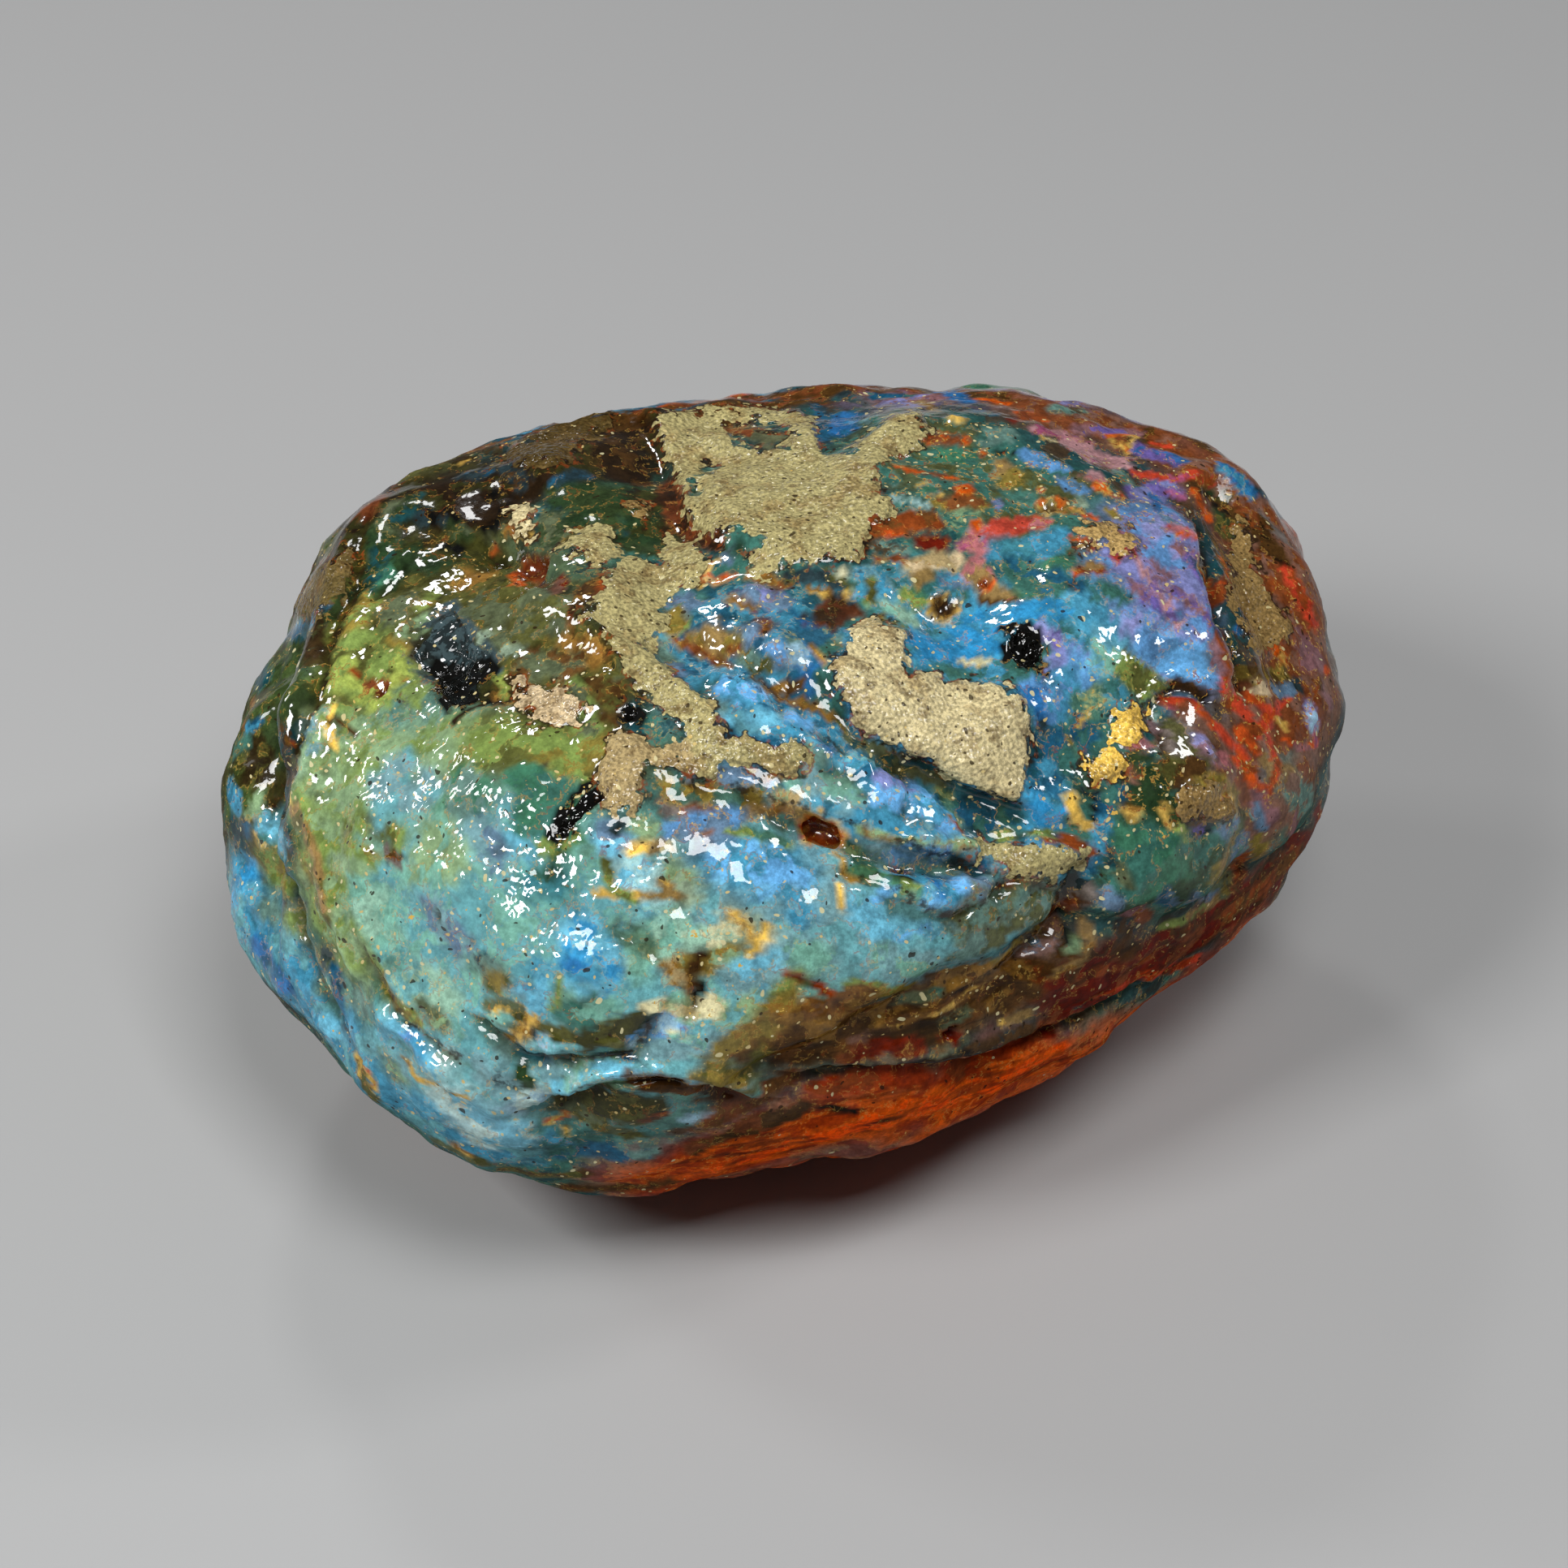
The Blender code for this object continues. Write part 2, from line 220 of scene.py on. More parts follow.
# Colours all round the stone by place, reaches in mm
AROUND = listed(Stroke, """
back: deep teal, umber, 14: -20 15, 30 20, 75 15, 120 15, 165 10
back olive: olive, dark umber, 7: 150 30, 125 20, 120 0
back azure: deep azure, azure, 6: 95 35, 70 25, 62 5
back cyan: deep cyan, teal, 5: 105 10, 90 -10
back violet: mauve, periwinkle, 5: 30 35, 15 20
back moss: moss, sage, 3.5: 140 5, 160 -10
back red: rust, vermilion, 5.5: -5 15, 20 0, 40 8
low ring: brown, rust, 6: -60 -35, -10 -30, 40 -30, 90 -35, 140 -35, 180 -35
low teal: deep teal, slate, 3.5: 80 -22, 115 -28
base: deep orange, orange, 11: -90 -70, 0 -60, 90 -65, 180 -65
back vein: brown gold, rust, 0.8: 20 30, 45 22, 60 30
back blue spot: bright azure, cobalt, 1.8: 82 28, 76 20
back sage: sage, seafoam, 2: 112 22, 118 12
back rust spot: rust, orange, 1.2: 66 36, 74 40
back mauve: mauve brown, mauve, 2: 12 8, 24 -2
back green spot: sea green, teal, 2: 34 18, 26 26
back gold: olive gold, brown gold, 1.2: 128 26, 138 18
back dark: dark umber, bottle, 1.4: 52 -12, 64 -8
back sky: sky, cyan, 1.4: 98 2, 106 -2
back violet spot: violet, cobalt, 1.4: 44 34, 50 26
back azure low: azure, deep azure, 2: 84 -8, 76 -14
left back olive: moss, olive gold, 1.6: 168 10, 176 0
end vein: red, rust, 0.6: 6 20, 0 8, 6 -4, 0 -14
end grey: grey teal, mauve brown, 2: 14 -14, 26 -20
end brown: umber, rust brown, 2.4: 30 -8, 40 -20
end azure: deep azure, azure, 1.4: 38 -2, 50 -14
end rust: rust, vermilion, 1.1: 24 -24, 36 -30
end sage: sage, teal, 1.1: 50 8, 56 0
back umber: umber, rust brown, 2.4: 118 -16, 132 -22
back seafoam: seafoam, sky, 1.6: 146 -14, 156 -22
back orange: orange, brown gold, 1: 96 -20, 104 -26
front low: deep orange, orange, 9: -150 -50, -120 -45, -90 -45, -60 -40, -30 -35
""")

# Colours by photo point, broad ones first, reaches in mm
# Painted light: the foam strokes brighten the lower front where light and sheen fall
WASHES = listed(Stroke, """
# Broad fields
lobe: cyan, seafoam, 8: 560 1000, 620 1150, 760 1240, 880 1180
upper lobe: sage, moss, 3: 440 930, 540 930
lobe side: moss, sage, 2.2: 400 970, 400 1080, 430 1170
lower left: azure, cyan, 2.6: 290 1110, 380 1230, 470 1330, 600 1410
lower front: cyan, grey cyan, 2.6: 500 1290, 600 1340, 680 1320
left flank: flank green, dark olive, 3.8: 420 640, 350 760, 320 880, 300 980
crest: moss, olive, 2: 490 700, 450 780, 420 850
olive field: olive, dark olive, 5.2: 540 700, 640 760, 720 850, 700 900
green slope: moss, olive, 2: 600 920, 660 925, 720 940
dark top left: dark umber, dark olive, 3.6: 470 620, 580 600, 700 560, 800 530
trough: dark green, dark umber, 2.4: 740 620, 800 620, 830 660
middle: azure, deep azure, 5: 920 800, 1000 900, 1180 1010, 1240 1020
right middle: azure, teal, 4.4: 1120 770, 1250 790, 1330 780
right top: teal, olive, 4.2: 1130 560, 1240 590, 1300 640
top edge: umber, rust brown, 1.6: 880 490, 1000 488, 1100 478, 1240 488
right top edge: rust brown, mauve brown, 2.6: 1280 510, 1400 540, 1490 580
shoulder field: periwinkle, cornflower, 3.2: 1420 660, 1430 740, 1450 800
right end: rust brown, mauve brown, 4.4: 1560 640, 1610 780, 1590 900, 1540 960
right low end: mauve brown, grey teal, 2.4: 1580 980, 1540 1040
lower right: teal, dark green, 3.2: 1360 1000, 1420 1060, 1480 1060
centre lobe: grey cyan, cyan, 3.9: 900 1090, 1000 1110, 1100 1140, 1190 1130
belt: brown, umber, 2.4: 940 1290, 1100 1260, 1240 1215, 1300 1180
belt right: dark red, umber, 2.6: 1320 1210, 1440 1170, 1550 1100, 1610 1040
underside: orange, deep orange, 3.9: 820 1450, 1000 1390, 1200 1340, 1400 1250, 1500 1180
# The middle of the lobe
sky lobe: blue grey, sky, 0.9: 745 1025, 760 1045
sage corner: sage, seafoam, 0.6: 790 1015, 800 1025
blue lobe: azure, bright blue, 1.5: 890 1055, 930 1068, 970 1075
violet blue: blue grey, grey cyan, 0.7: 860 1040, 890 1030
sky below: sky, pale cyan, 1.2: 775 1075, 800 1090
sage below: sage, grey sage, 0.8: 830 1080, 850 1100
deep teal left: teal, deep cyan, 1: 670 1070, 690 1085, 655 1090
teal left high: deep cyan, teal, 0.8: 640 1010, 655 1030
cyan left high: cyan, sky, 0.7: 660 1050, 625 1040
azure low lobe: sky, bright azure, 1.5: 720 1150, 715 1190, 760 1185
seafoam lobe: seafoam, mint, 1: 800 1150, 790 1190, 830 1140
azure small: azure, grey cyan, 0.8: 980 1115, 990 1140
blue grey right: grey cyan, cyan, 0.9: 1010 1150, 1030 1120
sage gold: grey sage, gold, 0.9: 910 1140, 930 1150
gold olive mass: olive gold, sage, 0.8: 840 1190, 870 1180, 890 1165
sky right: grey cyan, sky, 1.2: 910 1210, 950 1190
seafoam right low: seafoam, grey cyan, 0.9: 970 1160, 1010 1180
moss right low: moss, sage, 0.7: 980 1205, 960 1225
sage right low: sage, cyan, 0.7: 900 1250, 930 1240
# The front left
lobe green: moss, olive, 1: 630 925, 660 940
olive head: moss, olive, 0.7: 430 1010, 470 1015, 490 1030
sage head: sage, moss, 1.2: 400 960, 420 990, 450 970
lobe head: grey cyan, cyan, 1.2: 490 950, 480 985, 520 975
teal head: grey teal, sea green, 1: 560 960, 590 985, 550 1000
sage middle: sage, seafoam, 1.2: 530 1030, 560 1060, 520 1070
blue middle: grey cyan, blue grey, 0.9: 590 1020, 610 1060
gold side: moss, olive gold, 0.7: 380 1050, 390 1090, 405 1120
lobe olive: moss, olive gold, 0.9: 430 1045, 450 1060
lobe sea: seafoam, mint, 1.3: 450 1110, 480 1140
left azure bump: sky, azure, 0.9: 340 1015, 345 1040
left azure low: azure, bright azure, 0.95: 305 1075, 290 1100
left sea: grey teal, cyan, 0.8: 325 1120, 340 1130
left slate: slate, deep azure, 0.6: 303 1020
left green: moss, olive gold, 0.6: 335 1075, 350 1090
left sage: grey sage, moss, 0.9: 360 1130, 380 1160
left cobalt: cobalt, deep azure, 0.8: 320 1165, 342 1192, 360 1215
left rim azure: azure, sky, 0.8: 365 1235, 400 1262, 430 1275
left dark green: grey green, slate, 0.7: 395 1185, 410 1180
left sea low: grey teal, seafoam, 0.7: 390 1215, 450 1240
left sage low: sage, moss, 0.7: 435 1150, 440 1185
lobe blue: blue grey, grey cyan, 1: 550 1150, 565 1165, 540 1130
lobe sea low: mint, cyan, 1.1: 490 1225, 520 1205, 550 1230
sky corner: sky, cyan, 0.9: 470 1280, 490 1260
green slant: grey green, sage, 0.6: 520 1240, 545 1255
dark patch: slate, grey teal, 0.6: 590 1190, 615 1195
gold patch: olive, olive gold, 0.6: 605 1210, 635 1215
lobe azure low: azure, sky, 0.9: 665 1205, 655 1230
seafoam by azure: seafoam, teal, 0.8: 690 1230, 710 1240
lower azure: sky, azure, 1: 500 1350, 530 1370
sky lower: pale cyan, sky, 0.9: 520 1310, 545 1300
teal lower: grey teal, sage, 0.8: 480 1310, 490 1330
lower slate: grey cyan, slate, 0.7: 590 1310, 600 1330, 640 1320
lower pale: foam, sky, 1.5: 560 1350, 605 1385
lower pale right: foam, pale blue, 0.8: 640 1360, 660 1345
lower bright: foam, sky, 1.1: 580 1400, 640 1405
lower teal: azure, teal, 0.6: 680 1400, 700 1410
lower deep: deep azure, teal, 0.7: 690 1420, 750 1415
rim brown front: umber, brown, 0.6: 640 1450, 700 1462, 760 1468, 830 1455
""")
# Painted glint: fold white is a pale dab where light glints on the fold
# Painted glow: the glow strokes stand for light shining through the thin edge of the underside
STROKES = listed(Stroke, """
# The left flank and the crest behind the lobe
flank green: flank green, dark green, 1.6: 350 820, 360 860, 330 910
flank teal: deep teal, teal, 0.8: 345 790, 325 810, 322 840
flank umber: dark umber, dark olive, 1: 440 620, 430 660, 400 700
flank umber top: dark umber, rust brown, 0.8: 480 600, 450 630
flank azure: azure, deep azure, 0.5: 365 772, 385 765
flank azure edge: deep azure, deep teal, 0.6: 340 800, 400 752
flank blue: deep azure, azure, 0.35: 318 890, 305 900
flank olive low: olive, dark umber, 1.1: 310 930, 320 960
flank sage: grey green, teal, 0.6: 290 925, 300 915
flank blue low: azure, deep azure, 0.7: 285 975, 292 990
flank slate: deep teal, slate, 0.8: 285 1020, 295 1040
flank pale: sage, gold, 0.5: 320 985, 312 1000
flank rim: brown gold, brown, 0.3: 316 830, 312 868, 300 895
flank orange: rust, brown gold, 0.25: 354 915
flank brown: umber, dark olive, 0.5: 340 985, 350 960
crest back: dark green, bottle, 1.3: 470 660, 480 700, 450 730, 420 760
crest grey: grey green, dark green, 0.8: 490 625, 480 645
crest teal: dark green, deep teal, 0.6: 490 640, 510 615
crest sea: teal, sea green, 0.7: 475 712, 450 725
crest dark: bottle, deep teal, 0.7: 475 680, 440 740
crest gold: brown gold, moss, 0.5: 530 735, 520 745
crest olive: olive gold, moss, 0.9: 415 775, 445 765, 450 745
crest grey green: grey green, olive, 1: 490 750, 500 735, 470 760
crest lime: moss, olive, 1.1: 440 800, 470 800, 475 830
crest lime low: moss, lime, 0.8: 420 830, 430 850, 470 860
crest yellow: olive gold, moss, 0.3: 425 852, 440 858
crest blotch: rust brown, lime, 0.5: 455 845, 470 850, 490 842
crest dash: umber, rust, 0.2: 430 830, 445 832
crest brown: umber, olive gold, 0.45: 480 790, 500 800
crest pale: grey cyan, sage, 0.8: 385 885, 378 920, 370 945
crest streak: yellow, cream, 0.22: 412 872, 402 895, 412 920
crest foot gold: yellow, sage, 0.2: 365 950, 358 975, 362 990
sage ring: umber, moss, 0.9: 515 855
sage disc: grey sage, moss, 0.62: 515 855
crest dark dash: umber, moss, 0.2: 395 888, 420 893, 440 902
crest furrow: dark olive, olive, 0.25: 450 640, 440 740, 412 780, 396 860, 366 920, 350 990
# The olive field and its hollows
field dark: dark olive, bottle, 1.4: 520 690, 580 680, 600 700
field gold: brown gold, olive, 0.9: 560 715, 600 715
field gold spot: orange, brown gold, 0.25: 580 732
field olive: olive, grey green, 1.6: 570 750, 640 740, 620 790
field sage: grey green, grey sage, 0.8: 600 790, 630 800
field grey rim: grey green, sage, 0.7: 500 775, 520 765
field moss left: moss, lime, 0.6: 490 815, 510 835
field tan: brown gold, umber, 1: 700 790, 730 810
field rise: grey green, brown, 1.1: 660 820, 700 820
field rust: orange, brown gold, 0.25: 697 772, 705 775
field black left: black, slate, 0.6: 530 640, 520 632
field violet: slate, blue grey, 0.35: 545 640, 555 645
field green gap: dark green, grey green, 0.55: 575 655, 560 645
field black: black, dark umber, 1: 590 615, 612 635, 570 620
field black low: black, dark umber, 0.5: 550 675, 565 678
field brown low: umber, black, 0.4: 530 668
field rust spot: rust, brown gold, 0.22: 610 678
cream edge: brown gold, gold, 0.22: 625 655, 655 660
field grey right: grey green, olive, 1.4: 640 770, 700 750
field maroon: dark red, mauve brown, 0.6: 690 710, 685 722
field slate: slate, grey green, 0.5: 670 718, 672 732
umber by strip: umber, brown gold, 0.7: 735 715, 725 730
orange by strip: rust, orange, 0.3: 748 715, 742 735
dark hole: black, rust brown, 0.35: 712 745, 708 758
pit orange: orange, vermilion, 0.35: 634 706, 640 722
pit glass: rust, blood, 0.7: 650 692, 668 702
glassy olive: brown gold, dark olive, 0.8: 600 850, 615 860
glassy edge: brown gold, gold, 0.25: 555 866, 570 866
field crack: black, dark umber, 0.22: 560 895, 575 880, 600 868, 625 862
moss drip: moss, lime, 0.3: 600 815, 615 830, 625 855
by fleck: olive gold, umber, 0.5: 640 835, 635 855
olive by strip: olive, umber, 1.2: 740 850, 750 880
sage right: grey green, moss, 1: 700 860, 720 900
moss right: moss, olive gold, 1.2: 680 920, 730 930
moss dot: rust, umber, 0.25: 672 938
yellow olive: olive gold, moss, 0.6: 690 945, 680 955
teal slope low: teal, sea green, 1.3: 650 960, 690 985, 660 1000
green slope low: moss, sea green, 0.8: 700 1030, 680 1040
# The dark top left
rim brown: brown, mauve brown, 0.7: 560 560, 620 545
rim gold: tan, brown, 0.5: 640 545, 700 522, 750 510
rim olive: olive, brown gold, 0.6: 700 540, 740 535
orange rim: brown gold, gold, 0.35: 570 570
dull blue left: slate, deep azure, 0.6: 570 588, 600 585
dull slate: slate, umber, 0.6: 640 590, 620 580
dull blue: deep azure, slate, 0.6: 690 590, 715 582
dark mass: dark umber, umber, 1.6: 770 520, 770 580
green field: dark green, bottle, 1.4: 700 610, 750 620, 720 650
green field right: bottle, dark olive, 1.2: 810 610, 790 660
teal bead: deep teal, grey teal, 0.45: 662 638
slate bead: blue grey, slate, 0.3: 712 660
grey blob: grey green, dark green, 0.7: 680 640, 680 665
brown blob: olive gold, tan, 0.5: 700 665
dark green low: dark green, bottle, 0.8: 760 665, 800 680
# Between the crusts at the top
rim red: rust, vermilion, 0.45: 810 502, 870 492
rim red brown: rust brown, umber, 0.5: 780 510, 930 488, 1000 488
rust in crust: rust brown, grey green, 0.6: 900 528, 940 538, 965 540
mauve in crust: mauve brown, grey green, 0.45: 935 548, 950 552
umber slope: rust brown, dark umber, 0.8: 825 595, 835 630, 850 655, 880 665
blue grey slope: blue grey, deep azure, 0.6: 895 682
teal slope: blue grey, teal, 0.8: 860 740, 840 740
buff bead: tan sand, gold, 0.3: 880 690
tan arc: tan sand, gold, 0.3: 870 700, 860 722
orange arc: orange, tan sand, 0.25: 865 712, 880 717, 900 708
brown by crust: brown gold, rust brown, 0.6: 930 705, 950 715, 970 720
gold oval: brown gold, rust, 0.55: 905 738, 925 745
blue violet left: blue grey, periwinkle, 0.8: 930 730, 960 742
deep band: deep azure, cobalt, 0.6: 980 757, 1000 765
moss tan: olive gold, moss, 0.7: 835 760, 830 775
periwinkle bumps: blue grey, deep azure, 1: 935 770, 925 785
pale bump: blue grey, cornflower, 0.5: 955 800, 960 815
brown bump: brown, rust brown, 0.35: 945 775, 935 762
olive clump: olive gold, tan, 1.1: 870 785, 890 795
clump rust: rust, brown, 0.35: 903 800
teal under clump: grey teal, blue grey, 0.7: 810 795, 825 820
slate under clump: slate, blue grey, 0.4: 820 822, 840 832
gold line: brown gold, rust brown, 0.3: 830 790, 865 800, 900 822
olive fold: olive, grey teal, 0.5: 915 812, 940 822
gold fold: brown gold, umber, 0.4: 940 855, 960 850, 985 845
brown seam: umber, brown gold, 0.3: 930 838, 960 862, 1000 872
teal band: teal, grey cyan, 0.6: 900 885, 870 860
azure bright: bright blue, azure, 0.75: 895 848, 915 855, 925 862
teal by strip: teal, deep teal, 0.9: 785 885, 805 905
dark by strip: umber, olive, 0.5: 760 850, 755 870
# Right of the top crust
deep spot: cobalt, deep azure, 1.1: 1035 528, 1045 515
spot dark: deep azure, slate, 0.5: 1010 500, 1010 545
spot bright: bright azure, cobalt, 0.5: 1050 520
spot green: teal, grey cyan, 0.6: 1075 515
rim teal: deep azure, teal, 0.6: 1080 488, 1120 486
rim slate: slate, umber, 0.5: 1040 486
gold by rim: tan, brown gold, 0.4: 1135 495, 1150 505
azure top: cobalt, azure, 0.7: 1165 485, 1190 495
teal top: teal, deep azure, 0.5: 1205 505, 1220 510
gold bead: gold, yellow, 0.55: 1175 520
rust by bead: rust brown, orange, 0.45: 1145 540, 1185 542
green teal: sea green, teal, 0.8: 1150 562, 1190 565
grey teal top: grey teal, teal, 0.8: 1215 540, 1235 535
rust lines: rust, orange, 0.25: 1105 575, 1140 583, 1175 590
orange rust: orange, rust, 0.55: 1190 600, 1185 610
teal blobs: teal, grey teal, 0.5: 1085 585, 1100 590
teal ring: grey teal, gold, 0.65: 1145 602
teal in ring: sea green, deep azure, 0.4: 1145 604
pale drops: pale cyan, grey teal, 0.35: 1100 615, 1140 622
teal low: teal, sage, 0.7: 1175 640, 1190 630
olive gold top: olive gold, rust brown, 0.6: 1160 620, 1210 620
rust region: rust, brown, 0.9: 1080 650, 1120 645, 1140 640
rust orange: vermilion, rust, 0.3: 1095 660, 1110 655
umber by crust: umber, black, 0.35: 1068 660, 1062 675
grey in rust: grey teal, umber, 0.4: 1080 672, 1115 680
rust low: rust brown, tan, 0.4: 1085 688, 1110 690
blood oval: dark red, rust, 0.6: 1135 670, 1160 670
red pink: pink, red, 0.7: 1205 658, 1245 648, 1280 642
red tail: pink, magenta, 0.6: 1190 672, 1215 675
orange dots: orange, gold, 0.25: 1205 650, 1200 640
magenta top: magenta, mauve pink, 0.5: 1275 530, 1310 535
cream dashes: gold, cream, 0.2: 1285 540, 1305 545
blue top: cornflower, azure, 0.8: 1275 560, 1300 570
tan top: tan, grey teal, 0.5: 1235 570, 1230 585
dark dash: black, umber, 0.2: 1228 558, 1250 557
olive top: olive gold, olive, 0.7: 1250 585, 1240 600
red rim: rust, dark red, 0.35: 1245 518, 1280 515
orange rim right: orange, rust, 0.35: 1240 495, 1210 490
rust dab: rust, orange, 0.3: 1210 560
orange bead: orange, gold, 0.3: 1280 600
blue by bead: blue grey, cornflower, 0.6: 1310 595, 1330 605
teal right: grey teal, teal, 0.7: 1240 612, 1265 610
lilac spot: periwinkle, blue grey, 0.35: 1230 620
sage by bubble: grey sage, grey teal, 0.5: 1330 620
bubble ring: gold, orange, 0.75: 1285 625, 1302 625
bubble: tan, olive gold, 0.5: 1290 627, 1302 627
azure low: azure, deep cyan, 1: 1235 680, 1280 672, 1310 665
azure low deep: teal, deep azure, 1: 1250 700, 1290 705
teal low middle: teal, deep azure, 0.9: 1260 725, 1300 725
green low middle: sea green, olive, 0.5: 1240 735, 1275 738
cyan by crust: azure, grey cyan, 0.7: 1065 705, 1085 715
olive streak: olive, moss, 0.3: 1072 715, 1072 745
tan pink: tan sand, pink sand, 0.6: 1125 700, 1155 690, 1180 690
tan olive: olive gold, tan, 0.5: 1130 715, 1140 705
mint spot: mint, seafoam, 0.8: 1095 750, 1115 760
green drop: moss, sea green, 0.6: 1115 730, 1135 740
olive hook: umber, olive gold, 0.25: 1085 760, 1090 770, 1108 775
grey blue: blue grey, azure, 0.5: 1165 712, 1185 715
teal by bubble: teal, azure, 0.5: 1185 735
bubble rim: gold, tan, 0.85: 1163 750
brown bubble: brown gold, umber, 0.6: 1163 748
pit arch: tan, pink, 0.7: 1205 705, 1220 730, 1235 738
arch foot: umber, brown, 0.35: 1215 740, 1245 742
red pit: vermilion, rust, 0.4: 1216 718
pink by pit: pink, mauve brown, 0.5: 1205 690
smooth brown: umber, rust brown, 1: 1015 765, 1045 755
dark slate: slate, olive, 0.6: 975 712, 1010 712, 1040 720
gold brown: brown gold, gold, 0.35: 1000 728, 1020 732
white bead: pale blue, cream, 0.35: 1040 706
tan bead: tan sand, gold, 0.35: 1047 732
teal field left: grey teal, deep azure, 0.9: 985 790, 1010 790
olive field left: olive, teal, 0.5: 1025 800, 1010 805
gold lines: gold, brown gold, 0.18: 990 795, 1005 805, 1022 825
blue pale: pale blue, cornflower, 0.5: 978 800, 985 815
cobalt by slab: deep azure, cobalt, 0.8: 1000 830, 1010 855
deep by slab: deep azure, teal, 0.7: 1020 860, 1030 880
azure field: bright azure, azure, 1.5: 1140 800, 1200 790, 1230 780
azure field low: azure, teal, 0.6: 1160 825, 1200 835, 1240 830
cream dots: cream, gold, 0.25: 1185 812, 1215 815
green dot: olive, teal, 0.3: 1172 828
azure gap: azure, bright azure, 0.8: 1240 755, 1300 750
violet by pit: lilac, violet, 0.6: 1283 775, 1300 785
cornflower by pit: cornflower, periwinkle, 0.7: 1300 805, 1320 800
grey below pit: mauve brown, periwinkle, 0.5: 1290 830, 1310 835
magenta dash: magenta, violet, 0.25: 1320 832
cobalt patch: cobalt, cornflower, 0.9: 1270 850, 1285 870
slate below: slate, blue grey, 0.5: 1285 890, 1290 900
# The top right
rim grey: grey teal, umber, 0.6: 1300 502, 1330 508
rim rust: rust, orange, 0.5: 1280 515, 1260 510
rim brown right: umber, rust brown, 0.7: 1390 512, 1450 535, 1500 560
mauve violet: mauve, violet, 0.6: 1330 530, 1400 535
magenta: mauve pink, magenta, 1: 1325 548, 1350 565, 1380 572
pink: mauve pink, pink, 0.7: 1345 588
violet: violet, cobalt, 0.9: 1410 555, 1440 562
vermilion high: red, rust, 0.25: 1420 545, 1445 550
rust lines top: rust, gold, 0.35: 1370 545, 1385 552
orange lines: gold, orange, 0.2: 1365 538, 1400 538, 1388 558
teal top right: teal, grey teal, 0.55: 1378 582, 1385 590
blue violet: periwinkle, violet, 0.9: 1400 608, 1445 600
cobalt violet: cobalt, cornflower, 0.6: 1420 612, 1450 640
lilac low: lilac, magenta, 0.4: 1440 605, 1455 612
vermilion low: red, magenta, 0.3: 1400 583, 1450 590, 1475 582
red right: rust, red, 0.4: 1470 590, 1490 595
gold orange: gold, orange, 0.45: 1362 606, 1350 598
rust dash: rust, orange, 0.3: 1380 612
gold olive: olive gold, tan, 0.6: 1370 635
orange sweep: orange, gold, 0.25: 1325 628, 1350 640
orange sweep low: orange, tan, 0.3: 1320 665, 1345 672
grey blue right: blue grey, lilac, 0.9: 1420 655, 1445 640
red right middle: pink, red, 0.4: 1440 650, 1480 665
orange right middle: orange, gold, 0.2: 1450 658, 1485 672
mauve shoulder: mauve, lilac, 0.7: 1455 680, 1480 690
rust right: rust, tan, 0.6: 1340 704, 1355 700
orange right: orange, gold, 0.25: 1325 706
red dabs: red, rust, 0.3: 1375 688, 1390 680, 1400 690
teal green right: sea green, teal, 0.7: 1320 692, 1300 695
slate right: slate, deep azure, 0.6: 1325 724
teal right middle: teal, deep teal, 0.6: 1365 725, 1380 735
cyan right: sky, azure, 1.2: 1340 755, 1365 768
shoulder top: periwinkle, mauve, 1: 1400 705, 1430 715, 1460 730
shoulder violet: violet, mauve, 0.6: 1400 725, 1430 745
shoulder: cornflower, lilac, 1.4: 1405 770, 1440 785
shoulder pink: mauve, violet, 0.4: 1445 730, 1475 750, 1490 770
shoulder streak: mauve pink, violet, 0.3: 1400 690, 1430 735, 1450 770
shoulder dark: violet, slate, 0.5: 1470 690, 1490 730, 1500 780
shoulder rim: deep azure, slate, 0.4: 1480 700, 1500 750, 1512 790
shoulder low: bright blue, cornflower, 1.3: 1420 800, 1445 812, 1470 825
shoulder shade: blue grey, mauve, 0.5: 1490 800, 1500 820
shoulder edge: black, umber, 0.28: 1430 858, 1440 846, 1458 841, 1490 855
seafoam right: seafoam, sky, 0.9: 1350 820, 1378 812, 1360 790
cyan below: sky, cornflower, 0.7: 1325 815, 1340 835
crack right: black, umber, 0.15: 1385 800, 1405 818
crevice line: dark umber, rust, 0.35: 1475 640, 1490 700, 1500 760, 1520 800, 1530 850
crevice olive: olive, bottle, 0.9: 1500 620, 1515 655
crevice orange: orange, rust, 0.45: 1475 612, 1488 640
crevice dark: umber, black, 0.5: 1475 600, 1530 640
crevice rust: rust, vermilion, 0.5: 1505 690, 1515 710, 1500 735
crevice gold: gold, orange, 0.35: 1485 700, 1495 715
rim bump: azure, cobalt, 0.7: 1505 575, 1540 602
rim bump shade: deep azure, slate, 0.4: 1552 604, 1578 636
rim umber: dark umber, umber, 0.8: 1550 655, 1575 680
grey flank: umber, grey mauve, 0.6: 1560 640, 1580 660
end veins: red, vermilion, 0.3: 1595 850, 1575 870, 1560 900, 1570 930, 1555 960
red flank: red, rust, 0.7: 1585 705, 1600 735, 1615 765
rust flank: rust, rust brown, 0.6: 1570 725, 1585 740
mauve flank: mauve, rust brown, 0.9: 1600 790, 1625 810, 1610 820
vermilion edge: vermilion, red, 0.35: 1635 825
umber edge: umber, mauve, 0.5: 1640 870, 1630 850
slate flank: slate, blue grey, 0.6: 1570 850, 1600 845
cream flank: pink sand, tan, 0.4: 1560 850, 1550 845
orange crevice foot: orange, gold, 0.4: 1570 803, 1580 815
olive by crevice: olive gold, umber, 0.6: 1535 830, 1580 830
blue in crevice: cobalt, slate, 0.3: 1525 775
red down: rust brown, rust, 0.4: 1500 790, 1515 820, 1510 840
rust net: rust, red, 0.6: 1510 850, 1535 880, 1545 905
vermilion band: vermilion, red, 0.34: 1440 862, 1470 868, 1492 888, 1515 910, 1535 930
